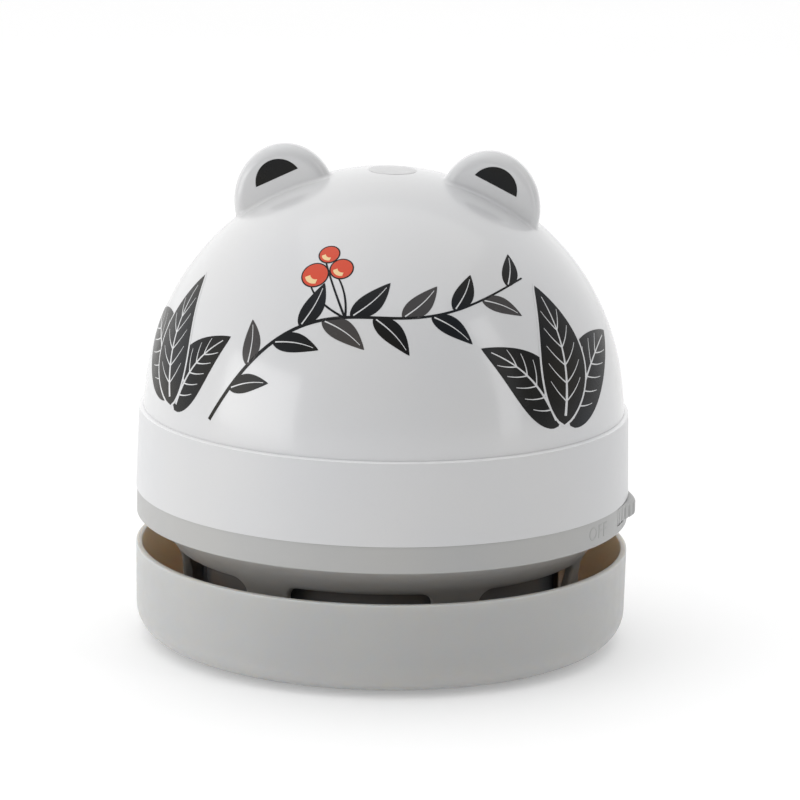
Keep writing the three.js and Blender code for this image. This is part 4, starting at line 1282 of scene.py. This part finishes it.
def film(loop, place, name, mat, slot, body, lift=0.03, sink=0.1, step=0.9):
    """A thin printed shape: loop in local millimetres, place maps (points, lift) to the object's millimetres."""
    loop = np.asarray(loop, float)
    area = 0.5 * np.sum(loop[:, 0] * np.roll(loop[:, 1], -1) - np.roll(loop[:, 0], -1) * loop[:, 1])
    if area < 0:
        loop = loop[::-1]
    dense = []
    for i in range(len(loop)):
        p, q = loop[i], loop[(i + 1) % len(loop)]
        l = np.linalg.norm(q - p)
        k = max(1, int(math.ceil(l / step)))
        for j in range(k):
            dense.append(p + (q - p) * j / k)
    loop = np.array(dense)
    lo, hi = loop.min(0), loop.max(0)
    gx, gy = np.meshgrid(np.arange(lo[0], hi[0], step), np.arange(lo[1], hi[1], step))
    g = np.stack([gx.ravel(), gy.ravel()], 1)
    g[:, 0] += (np.round((g[:, 1] - lo[1]) / step) % 2) * step / 2
    if len(g):
        g = g[inside(g, loop)]
    if len(g):
        d = np.min(np.linalg.norm(g[:, None] - loop[None], axis=2), axis=1)
        g = g[d > step * 0.45]
    pts = np.concatenate([loop, g]) if len(g) else loop
    n = len(loop)
    out = delaunay_2d_cdt([Vector(p) for p in pts], [(i, (i + 1) % n) for i in range(n)], [], 1, 1e-7)
    vv = np.array([p[:] for p in out[0]])
    tris = np.array(out[2], int)
    cen = vv[tris].mean(1)
    tris = tris[inside(cen, loop)]
    # border edges in order of use
    count = {}
    for t in tris:
        for a, b in ((t[0], t[1]), (t[1], t[2]), (t[2], t[0])):
            count[(int(a), int(b))] = 1
    border = [(a, b) for (a, b) in count if (b, a) not in count]
    m = len(vv)
    top = place(vv, lift)
    bot = place(vv, -sink)
    faces = [tuple(int(k) for k in t) for t in tris] + [tuple(int(k) + m for k in reversed(t)) for t in tris]
    for a, b in border:
        faces.append((a, a + m, b + m, b))
    return np.concatenate([top, bot]), faces


class Prints:
    """Collects printed shapes by colour so each colour is one piece."""

    def __init__(self):
        self.by = {}

    def add(self, key, vf):
        self.by.setdefault(key, []).append(vf)

    def finish(self):
        for (key, mat, slot, body), parts in self.by.items():
            v, f = merge(parts)
            o = make(key, v, f, M[mat], angle=40)
            put(o, body, None)


def dome_place(lam, beta, turn=0.0):
    return lambda uv, lift: dome_point(on_dome(uv, lam, beta, turn), lift)


def leaf(length, width, curve=0.12, n=34, tip=1.25):
    """Leaf outline from its stalk at the origin along +Y; also the line of its middle vein."""
    t = np.linspace(0, 1, n)
    half = width / 2 * np.sin(math.pi * t ** 0.78) ** 0.86 * (1 - 0.12 * t)
    bend = curve * length * np.sin(math.pi * t * 0.9) * 0.5
    y = length * t
    left = np.stack([bend - half, y], 1)
    right = np.stack([bend + half, y], 1)
    loop = np.concatenate([right, left[::-1][1:-1]])
    return loop, np.stack([bend, y], 1), half


def ribbon(line, w0, w1=None):
    """Closed outline of a tapering stroke along a line."""
    line = np.asarray(line, float)
    w1 = w0 if w1 is None else w1
    t = np.gradient(line, axis=0)
    t /= np.linalg.norm(t, axis=1)[:, None]
    nrm = np.stack([-t[:, 1], t[:, 0]], 1)
    w = np.linspace(w0, w1, len(line))[:, None] / 2
    return np.concatenate([line - nrm * w, (line + nrm * w)[::-1]])


def spin(p, deg, at=(0.0, 0.0)):
    a = math.radians(deg)
    p = np.asarray(p, float)
    return np.stack([p[:, 0] * math.cos(a) - p[:, 1] * math.sin(a) + at[0], p[:, 0] * math.sin(a) + p[:, 1] * math.cos(a) + at[1]], 1)


def big_leaf(prints, place, at, deg, length, width, curve, level=0, key="print_black", veins=5):
    """A veined leaf; level stacks it over the leaves before it, set off by a bare rim."""
    loop, mid, half = leaf(length, width, curve)
    base = 0.03 + 0.04 * level
    if level:
        prints.add(("bare_rim", "white_gloss", "white_gloss", "dome"),
                   film(spin(loop_offset(loop, 0.42), deg, at), place, "", None, None, None, lift=base - 0.015))
    prints.add(("leaf_print_" + key.split("_")[1], key, key, "dome"), film(spin(loop, deg, at), place, "", None, None, None, lift=base))
    k = len(mid)
    line = mid[2:int(k * 0.93)]
    rib = ribbon(line, 0.5 * width / 12 + 0.12, 0.16)
    lines = [rib]
    for s in (-1, 1):
        for i in range(veins):
            t0 = 0.16 + 0.62 * i / veins
            p0 = np.array([np.interp(t0, np.linspace(0, 1, k), mid[:, 0]), np.interp(t0, np.linspace(0, 1, k), mid[:, 1])])
            h = np.interp(t0 + 0.14, np.linspace(0, 1, k), half)
            q = np.array([np.interp(t0 + 0.14, np.linspace(0, 1, k), mid[:, 0]) + s * h * 0.72, p0[1] + length * 0.15])
            c = (p0 + q) / 2 + np.array([s * h * 0.05, -length * 0.02])
            tt = np.linspace(0, 1, 9)[:, None]
            lines.append(ribbon((1 - tt) ** 2 * p0 + 2 * tt * (1 - tt) * c + tt ** 2 * q, 0.26, 0.1))
    for ln in lines:
        prints.add(("vein_print", "white_gloss", "white_gloss", "dome"),
                   film(spin(ln, deg, at), place, "", None, None, None, lift=base + 0.018, sink=-base + 0.01))


def circle(cx, cy, r, n=40, a0=0.0, a1=TAU):
    a = np.linspace(a0, a1, n, endpoint=False)
    return np.stack([cx + r * np.cos(a), cy + r * np.sin(a)], 1)


def build_ornament():
    pr = Prints()
    # large leaf sprays low on both sides
    L = dome_place(-64, 19)
    big_leaf(pr, L, (6.0, -9.0), 62, 25.0, 12.0, 0.22)
    big_leaf(pr, L, (8.5, -10.5), -32, 19.0, 9.5, -0.2)
    big_leaf(pr, L, (7.0, -10.0), 12, 24.0, 11.5, -0.16, 1)
    R = dome_place(63, 18)
    big_leaf(pr, R, (-9.0, -9.5), 38, 21.0, 10.0, 0.2)
    big_leaf(pr, R, (-6.0, -10.0), -56, 24.0, 11.5, -0.22)
    big_leaf(pr, R, (-7.5, -9.5), -6, 25.0, 12.0, 0.14, 1)
    # a thin stem that crosses the front from low left to high right, with small leaves
    C = dome_place(2, 32)
    t = np.linspace(0, 1, 60)
    x = -31 + 58 * t
    y = -15.5 + 31 * t + 5.2 * np.sin(TAU * t * 0.95)
    stem = np.stack([x, y], 1)
    pr.add(("stem_print", "print_black", "print_black", "dome"), film(ribbon(stem, 0.75, 0.34), C, "", None, None, None, step=0.7))
    tang = np.gradient(stem, axis=0)
    for i, tt in enumerate(np.linspace(0.09, 0.95, 12)):
        k = int(tt * 59)
        p = stem[k]
        ang = math.degrees(math.atan2(tang[k][1], tang[k][0])) - 90
        s = 1 if i % 2 else -1
        size = 1.0 - 0.35 * abs(tt - 0.45)
        lp, mid, half = leaf(9.4 * size, 4.1 * size, 0.14 * s)
        key = "print_grey" if i % 3 == 1 else "print_black"
        pr.add(("small_leaf_" + key.split("_")[1], key, key, "dome"), film(spin(lp, ang + s * 46, p), C, "", None, None, None, step=0.8))
        rib = ribbon(mid[2:-4], 0.24, 0.1)
        pr.add(("vein_print", "white_gloss", "white_gloss", "dome"),
               film(spin(rib, ang + s * 46, p), C, "", None, None, None, lift=0.055, sink=-0.02))
    # berries off the middle
    B = dome_place(-17, 43)
    for (cx, cy, r) in ((0.0, 0.0, 2.25), (4.3, 1.9, 1.9), (1.2, 4.5, 1.7)):
        pr.add(("berry_edge", "print_black", "print_black", "dome"), film(circle(cx, cy, r + 0.24, 44), B, "", None, None, None, step=0.6))
        pr.add(("berry_print", "print_red", "print_red", "dome"),
               film(circle(cx, cy, r, 44), B, "", None, None, None, lift=0.045, sink=0.02, step=0.6))
        a = np.linspace(math.radians(200), math.radians(290), 14)
        o1 = np.stack([cx + 0.78 * r * np.cos(a), cy + 0.78 * r * np.sin(a)], 1)
        o2 = np.stack([cx + 0.12 * r + 0.52 * r * np.cos(a), cy + 0.12 * r + 0.52 * r * np.sin(a)], 1)
        pr.add(("berry_light", "print_cream", "print_cream", "dome"),
               film(np.concatenate([o1, o2[::-1]]), B, "", None, None, None, lift=0.06, sink=0.02, step=0.5))
    for (x0, y0, x1, y1, bx, by) in ((0.0, -2.4, 7.5, -7.2, 2.2, -5.6), (4.4, -0.1, 7.5, -7.2, 7.0, -3.2), (1.2, 2.7, 7.5, -7.2, 3.8, -1.8)):
        tt = np.linspace(0, 1, 16)[:, None]
        ln = (1 - tt) ** 2 * np.array([x0, y0]) + 2 * tt * (1 - tt) * np.array([bx, by]) + tt ** 2 * np.array([x1, y1])
        pr.add(("berry_stalk", "print_black", "print_black", "dome"), film(ribbon(ln, 0.3, 0.42), B, "", None, None, None, step=0.6, lift=0.028))

    # nearly half-discs on the ears' front faces: the straight edge lies along the dome's slope
    for side in (-1, 1):
        r0, chord = 4.2, 0.9
        slope = math.radians(26.2)
        ux = np.array([math.cos(slope), -side * math.sin(slope)])
        un = np.array([side * math.sin(slope), math.cos(slope)])
        low = math.asin(chord / r0)
        a = np.linspace(low, math.pi - low, 48)
        lp = np.array([side * 18.9, 82.0]) + r0 * (np.cos(a)[:, None] * ux + np.sin(a)[:, None] * un)
        place = lambda uv, lift: np.stack([uv[:, 0], np.full(len(uv), EAR_Y - lift), uv[:, 1]], 1)
        pr.add(("ear_print", "print_black", "print_black", "dome"), film(lp, place, "", None, None, None, lift=0.03, sink=0.1, step=0.6))
    pr.finish()

    # blank round label on top
    th = 0.09
    c = math.asin(0.7 / DOME_R)
    cdir = np.array([math.sin(c), 0, math.cos(c)])
    e = np.array([math.cos(c), 0, -math.sin(c)])
    n = np.array([0, 1.0, 0])
    verts, faces = [], []
    na = 96
    prof = [(0, th)] + [(0.25 * i, th) for i in range(1, 17)] + [(4.12, th), (4.2, th * 0.75), (4.25, th * 0.4), (4.25, -0.1)]
    idx = []
    for r, h in prof:
        if r == 0:
            idx.append([len(verts)])
            verts.append(dome_point(cdir, h))
            continue
        b = len(verts)
        idx.append(list(range(b, b + na)))
        for j in range(na):
            a = TAU * j / na
            k = r / DOME_R
            dv = math.cos(k) * cdir + math.sin(k) * (math.cos(a) * e + math.sin(a) * n)
            verts.append(dome_point(dv, h))
    for a, b in zip(idx[:-1], idx[1:]):
        for j in range(na):
            k = (j + 1) % na
            if len(a) == 1:
                faces.append((a[0], b[j], b[k]))
            else:
                faces.append((a[j], b[j], b[k], a[k]))
    faces.append(tuple(idx[-1][::-1]))
    put(make("round_label", np.array(verts), faces, M["label_film"]), "dome", None)


# ------------------------------------------------------------------- internals
def fine_screw(name, x, y, z0, z1, shank, head, head_h, body, node, up=True):
    """Domed cross-head screw with a rolled thread."""
    prof = [(0, z0), (shank * 0.35, z0 + 0.15, 0.1)]
    z = z0 + 0.6
    while z < z1 - 1.0:
        prof += [(shank * 0.72, z), (shank, z + 0.28, 0.05)]
        z += 0.56
    prof += [(shank * 0.8, z1 - 0.5), (shank * 0.8, z1, 0.1), (head, z1, 0.12), (head, z1 + head_h * 0.45, 0.3),
             (head * 0.62, z1 + head_h, 0.6), (0, z1 + head_h)]
    v, f = lathe(rounded(prof, 3, closed=False), 40, closed=False)
    if not up:
        v = v * np.array([1, 1, -1]) + np.array([0, 0, z0 + z1 + head_h])
    o = make(name, v + np.array([x, y, 0]), f, M["bare_steel"], angle=35)
    top = z1 + head_h if up else z0
    depth = 0.7
    s = 1 if up else -1
    cross = []
    zc = sorted((top + s * 0.5, top - s * depth))
    cross.append(boxed(x - head * 0.62, x + head * 0.62, y - 0.22, y + 0.22, zc[0], zc[1], 0.0))
    cross.append(boxed(x - 0.22, x + 0.22, y - head * 0.62, y + head * 0.62, zc[0], zc[1], 0.0))
    cut(o, cross)
    return put(o, body, node)


def build_inside():
    hb = "upper_housing"
    # inlet plate
    parts = [turned([(13.2, 20.4, 0.3), (32.2, 20.4, 0.2), (32.2, 21.6, 0.2), (13.2, 21.6, 0.5), (12.0, 21.1, 0.3)], n=160)]
    for i in range(4):
        a = math.radians(45 + 90 * i)
        parts.append(turned([(0, 21.2), (1.9, 21.2), (1.9, 31.2, 0.2), (0, 31.2)], n=36, axis_xy=(28.4 * math.cos(a), 28.4 * math.sin(a))))
    v, f = merge(parts)
    put(make("inlet_plate", v, f, M["dark_plastic"]), hb, "fan_shroud")

    # impeller
    parts = [turned([(1.3, 22.7, 0.1), (3.4, 22.7, 0.4), (4.0, 26.8, 0.8), (6.0, 28.8, 0.8), (24.0, 28.8, 0.2), (24.0, 30.0, 0.3), (1.3, 30.0, 0.1)], n=144)]
    n = 22
    for b in range(8):
        mids = []
        for i in range(n + 1):
            t = i / n
            r = 7.5 + (23.6 - 7.5) * t
            a = -math.radians(52) * t * (0.75 + 0.25 * t) + TAU * b / 8
            mids.append((r * math.cos(a), r * math.sin(a)))
        mids = np.array(mids)
        tg = np.gradient(mids, axis=0)
        tg /= np.linalg.norm(tg, axis=1)[:, None]
        nn = np.stack([-tg[:, 1], tg[:, 0]], 1)
        sec = rounded([(-0.42, 22.4, 0.3), (0.42, 22.4, 0.3), (0.5, 29.2), (-0.5, 29.2)], steps=4)
        vs, fs = [], []
        m = len(sec)
        for i in range(n + 1):
            e = 1.0 if 0 < i < n else 0.55
            for (o_, z) in sec:
                p = mids[i] + nn[i] * o_ * e
                vs.append((p[0], p[1], z))
        for i in range(n):
            for j in range(m):
                k = (j + 1) % m
                fs.append((i * m + j, i * m + k, (i + 1) * m + k, (i + 1) * m + j))
        fs.append(tuple(range(m - 1, -1, -1)))
        fs.append(tuple(n * m + j for j in range(m)))
        parts.append((np.array(vs), fs))
    v, f = merge(parts)
    put(make("bladed_wheel", v, f, M["deck_plastic"]), "rotor", "fan_impeller")
    v, f = turned([(0, 22.9), (1.0, 22.9, 0.2), (1.0, 44.7, 0.2), (0, 44.7)], n=40)
    put(make("spindle", v, f, M["bare_steel"]), "rotor", "motor_shaft")

    # motor
    v, f = turned([
        (1.3, 45.0), (1.3, 32.5, 0.1), (3.2, 32.5, 0.2), (3.2, 33.8, 0.2), (12.2, 33.8, 1.0), (12.2, 46.2, 0.35), (0, 46.2), (0, 45.0),
    ][::-1], n=128)
    o = make("motor_case", v, f, M["bare_steel"])
    cuts = []
    for s in (-1, 1):
        cuts.append(turned([(0, 32.8), (1.1, 32.8), (1.1, 37.0), (0, 37.0)], n=24, axis_xy=(s * 8, 0)))
    for i in range(2):
        a = math.radians(90 + 180 * i)
        v, f = boxed(11.2, 13.5, -2.4, 2.4, 38.6, 40.6, 0.0)
        cuts.append((turn_z(v, a), f))
    cut(o, cuts)
    put(o, hb, "motor_can")
    parts = [turned([(0, 46.5), (11.3, 46.5, 0.2), (11.3, 48.0, 0.6), (2.6, 48.0, 0.2), (2.6, 48.9, 0.3), (0, 48.9)], n=96)]
    v, f = merge(parts)
    o = make("end_cap", v, f, M["deck_plastic"])
    put(o, hb, "motor_end_cap")
    for s in (-1, 1):
        v, f = boxed(s * 7.2 - 0.3, s * 7.2 + 0.3, -1.2, 1.2, 47.8, 49.2, 0.12)
        put(make("motor_blade_" + ("1" if s < 0 else "2"), v, f, M["gold_contact"]), hb, None)

    refine("motor_deck", hb, M["deck_plastic"], 0.25)
    refine("battery_tray", hb, M["tray_plastic"], 0.3, 3)
    refine("switch_body", hb, M["bare_steel"], 0.15)
    refine("switch_lever", "lever", M["dark_plastic"], 0.2)
    for n_ in ("contact_bridge", "contact_positive", "contact_negative"):
        refine(n_, hb, M["gold_contact"], 0.08)

    # screws
    for i in range(4):
        a = math.radians(45 + 90 * i)
        fine_screw(f"band_screw_{i + 1}", 37.2 * math.cos(a), 37.2 * math.sin(a), 25.0, 35.7, 1.15, 2.4, 1.5, hb, f"deck_screw_{i + 1}")
    for s in (-1, 1):
        k = "1" if s < 0 else "2"
        fine_screw("bay_screw_" + k, s * 21.0, 0, 43.5, 52.9, 0.9, 2.0, 1.3, hb, "tray_screw_" + k)
        fine_screw("mount_screw_" + k, s * 8.0, 0, 31.5, 35.7, 0.85, 1.9, 0.7, hb, "motor_screw_" + k, up=False)
        fine_screw("slide_screw_" + k, 35.2, SWITCH_Y + s * 8.4, 28.3, 32.0, 0.85, 1.8, 1.2, hb, "switch_screw_" + k, up=False)

    # cells
    for s in (-1, 1):
        y = -s * CELL_Y
        x0, x1 = -s * 1.9 - 24.6, -s * 1.9 + 24.6
        # button toward -X for s > 0, toward +X for s < 0
        d = -1 if s > 0 else 1
        flat, front = (x1, x0) if s > 0 else (x0, x1)
        prof_sleeve = [(0, 0.0), (5.0, 0.0, 0.1), (5.3, 0.12, 0.1), (6.95, 0.12, 0.1), (7.25, 0.5, 0.3)]
        length = 49.2
        prof = [(0, 0.25), (5.2, 0.25, 0.1), (5.5, 0.0, 0.1), (6.6, 0.0, 0.2), (7.25, 0.0, 0.55), (7.25, length, 0.7), (5.9, length, 0.3),
                (5.6, length - 0.35, 0.1), (0, length - 0.35)]
        rp = rounded(prof, 5, closed=False)
        v, f = lathe(rp, 96, closed=False)
        idx = []
        for fc in f:
            zc = np.mean([v[k][2] for k in fc])
            rc = np.mean([math.hypot(v[k][0], v[k][1]) for k in fc])
            if rc < 5.45:
                idx.append(1)
            elif zc > length - 9.0:
                idx.append(2)
            else:
                idx.append(0)
        # local z runs from the flat end to the button end
        vx = flat + d * v[:, 2]
        P = np.stack([vx, y + v[:, 0], CELL_Z + v[:, 1]], 1)
        o = make("cell_" + ("1" if s < 0 else "2"), P, f, [M["cell_sleeve"], M["bare_steel"], M["cell_band"]], mat_idx=idx)
        put(o, hb, "battery_" + ("1" if s < 0 else "2"))
        v, f = turned([(0, 48.7), (2.7, 48.7, 0.1), (2.7, 50.3, 0.25), (2.2, 50.5, 0.15), (0, 50.5)], n=48)
        P = np.stack([flat + d * v[:, 2], y + v[:, 0], CELL_Z + v[:, 1]], 1)
        put(make("cell_button_" + ("1" if s < 0 else "2"), P, f, M["bare_steel"]), hb, None)

    # springs
    for k, (x0, x1, y) in enumerate(((-27.4, -23.3, CELL_Y), (27.4, 23.3, -CELL_Y))):
        t = np.linspace(0, 1, 190)
        a = TAU * 3.5 * t
        r = 4.9 - 2.3 * t
        line = np.stack([x0 + (x1 - x0) * t, y + r * np.cos(a), CELL_Z + r * np.sin(a)], 1)
        v, f = tube(line, 0.33, sides=10)
        put(make(f"cone_spring_{k + 1}", v, f, M["spring_steel"]), hb, f"contact_spring_{k + 1}")

    # leads
    leads = {
        "wire_battery_to_switch": ([(28.9, CELL_Y, 54.4), (30.6, CELL_Y, 54.4), (32.8, 8.4, 52.4), (33.2, 9.8, 47.5), (31.0, 10.5, 40),
                                    (29, 10.5, 34.5), (29, 10.5, 31), (28.2, 8.6, 28.8), (28.3, 6.4, 27.4), (29.2, 5.5, 27.4)], "wire_red"),
        "wire_switch_to_motor": ([(29.2, -1.3, 27.4), (28.2, -2.6, 27.4), (27.7, -6.0, 28.6), (28.8, -10.2, 31), (29, -10.5, 34),
                                  (27, -11, 40), (20, -10.5, 45.5), (13.5, -6.5, 49.2), (9.5, -2.5, 49.6), (7.9, -0.6, 48.9)], "wire_red"),
        "wire_motor_to_battery": ([(-7.9, -0.6, 48.9), (-9.5, -3.5, 49.6), (-9.0, -12, 49.0), (0, -20, 46.5), (14, -23.5, 46),
                                   (26, -18, 47.5), (32.6, -10.5, 50.5), (32.6, -8.0, 53.2), (30.6, -CELL_Y, 54.4), (28.9, -CELL_Y, 54.4)],
                                  "wire_black"),
    }
    for node, (pts, mat) in leads.items():
        line = catmull(pts, 110)
        v, f = tube(line, 0.58, sides=12)
        put(make(node.replace("wire", "lead"), v, f, M[mat]), hb, node)


build_base()
build_drum()
build_housing()
build_band()
build_tab()
build_marks()
build_dome()
build_ornament()
build_inside()


# ------------------------------------------------------- camera, light, floor
def aim(az_deg=6.0):
    e = math.radians(12.776)
    D = 800.0
    C = np.array([0, -D * math.cos(e), 45 + D * math.sin(e)])
    fwd = np.array([0, math.cos(e), -math.sin(e)])
    right = np.array([1.0, 0, 0])
    up = np.cross(right, fwd)

    def rot(v, ax, d):
        a = math.radians(d)
        return v * math.cos(a) + np.cross(ax, v) * math.sin(a) + ax * (ax @ v) * (1 - math.cos(a))

    f1, r1, u1 = [rot(v, up, -0.201) for v in (fwd, right, up)]
    f1, r1, u1 = [rot(v, right, -0.16) for v in (f1, r1, u1)]
    f1, r1, u1 = [rot(v, fwd, -1.087) for v in (f1, r1, u1)]
    z = np.array([0, 0, 1.0])
    C, f1, r1, u1 = [rot(v, z, az_deg) for v in (C, f1, r1, u1)]
    cam = bpy.data.cameras.new("camera")
    cam.sensor_width = 36.0
    cam.sensor_fit = "HORIZONTAL"
    cam.lens = 4489.6 / 800 * 36.0
    cam.clip_start = 0.01
    cam.clip_end = 50
    ob = bpy.data.objects.new("camera", cam)
    bpy.context.scene.collection.objects.link(ob)
    m = Matrix.Identity(4)
    for i in range(3):
        m[i][0], m[i][1], m[i][2], m[i][3] = r1[i], u1[i], -f1[i], C[i] * MM
    ob.matrix_world = m
    bpy.context.scene.camera = ob


def area(name, at, target, size, size_y, power, colour=(1, 1, 1)):
    l = bpy.data.lights.new(name, "AREA")
    l.shape = "RECTANGLE"
    l.size, l.size_y = size, size_y
    l.energy = power
    l.color = colour
    o = bpy.data.objects.new(name, l)
    bpy.context.scene.collection.objects.link(o)
    o.location = at
    o.rotation_euler = (Vector(target) - Vector(at)).to_track_quat("-Z", "Y").to_euler()
    return o


ROOM_AXIS = (-0.50, 0.81, 0.30)
ROOM_DARK, ROOM_BRIGHT = 0.21, 1.15
KEY, STRIP, TOP = 1.9, 0.35, 3.6


def build_stage():
    s = 6.0
    me = bpy.data.meshes.new("floor")
    n = 24
    vs = [((i / n - 0.5) * 2 * s, (j / n - 0.5) * 2 * s, 0.0) for j in range(n + 1) for i in range(n + 1)]
    fs = [(j * (n + 1) + i, j * (n + 1) + i + 1, (j + 1) * (n + 1) + i + 1, (j + 1) * (n + 1) + i) for j in range(n) for i in range(n)]
    me.from_pydata(vs, [], fs)
    m = Mat("pale floor")
    nz = m.noise(3.0, 2.0, 0.5)
    m.link(m.ramp(nz, [(0.3, (0.79, 0.79, 0.79)), (0.7, (0.81, 0.81, 0.81))]), m.b.inputs["Base Color"])
    m.b.inputs["Roughness"].default_value = 0.7
    m.b.inputs["Specular IOR Level"].default_value = 0.2
    # a table lit a little from beneath, so the object's lower edge isn't dark
    m.b.inputs["Emission Color"].default_value = (1.0, 1.0, 1.0, 1)
    m.b.inputs["Emission Strength"].default_value = 0.22
    me.materials.append(m.m)
    o = bpy.data.objects.new("floor", me)
    bpy.context.scene.collection.objects.link(o)
    w = bpy.data.worlds.new("studio")
    bpy.context.scene.world = w
    w.use_nodes = True
    # a white room that is dimmer in front, on the right, than behind and on the left
    t = w.node_tree
    bg = t.nodes["Background"]
    bg.inputs["Color"].default_value = (1.0, 1.0, 1.0, 1)
    tc = t.nodes.new("ShaderNodeTexCoord")
    dot = t.nodes.new("ShaderNodeVectorMath")
    dot.operation = "DOT_PRODUCT"
    dot.inputs[1].default_value = ROOM_AXIS
    t.links.new(tc.outputs["Generated"], dot.inputs[0])
    mr = t.nodes.new("ShaderNodeMapRange")
    mr.name = "room"
    mr.interpolation_type = "SMOOTHSTEP"
    mr.inputs["From Min"].default_value = -1.0
    mr.inputs["From Max"].default_value = 0.9
    mr.inputs["To Min"].default_value = ROOM_DARK
    mr.inputs["To Max"].default_value = ROOM_BRIGHT
    t.links.new(dot.outputs["Value"], mr.inputs["Value"])
    t.links.new(mr.outputs["Result"], bg.inputs["Strength"])
    area("key_left", (-0.66, -0.44, 0.15), (0, 0, 0.04), 0.6, 0.4, KEY)
    area("strip_right", (0.50, -0.22, 0.26), (0, 0, 0.05), 0.12, 0.5, STRIP)
    area("top", (0.0, 0.0, 1.2), (0, 0, 0.0), 1.4, 1.4, TOP)
    bpy.context.scene.view_settings.view_transform = "Standard"


aim()
build_stage()
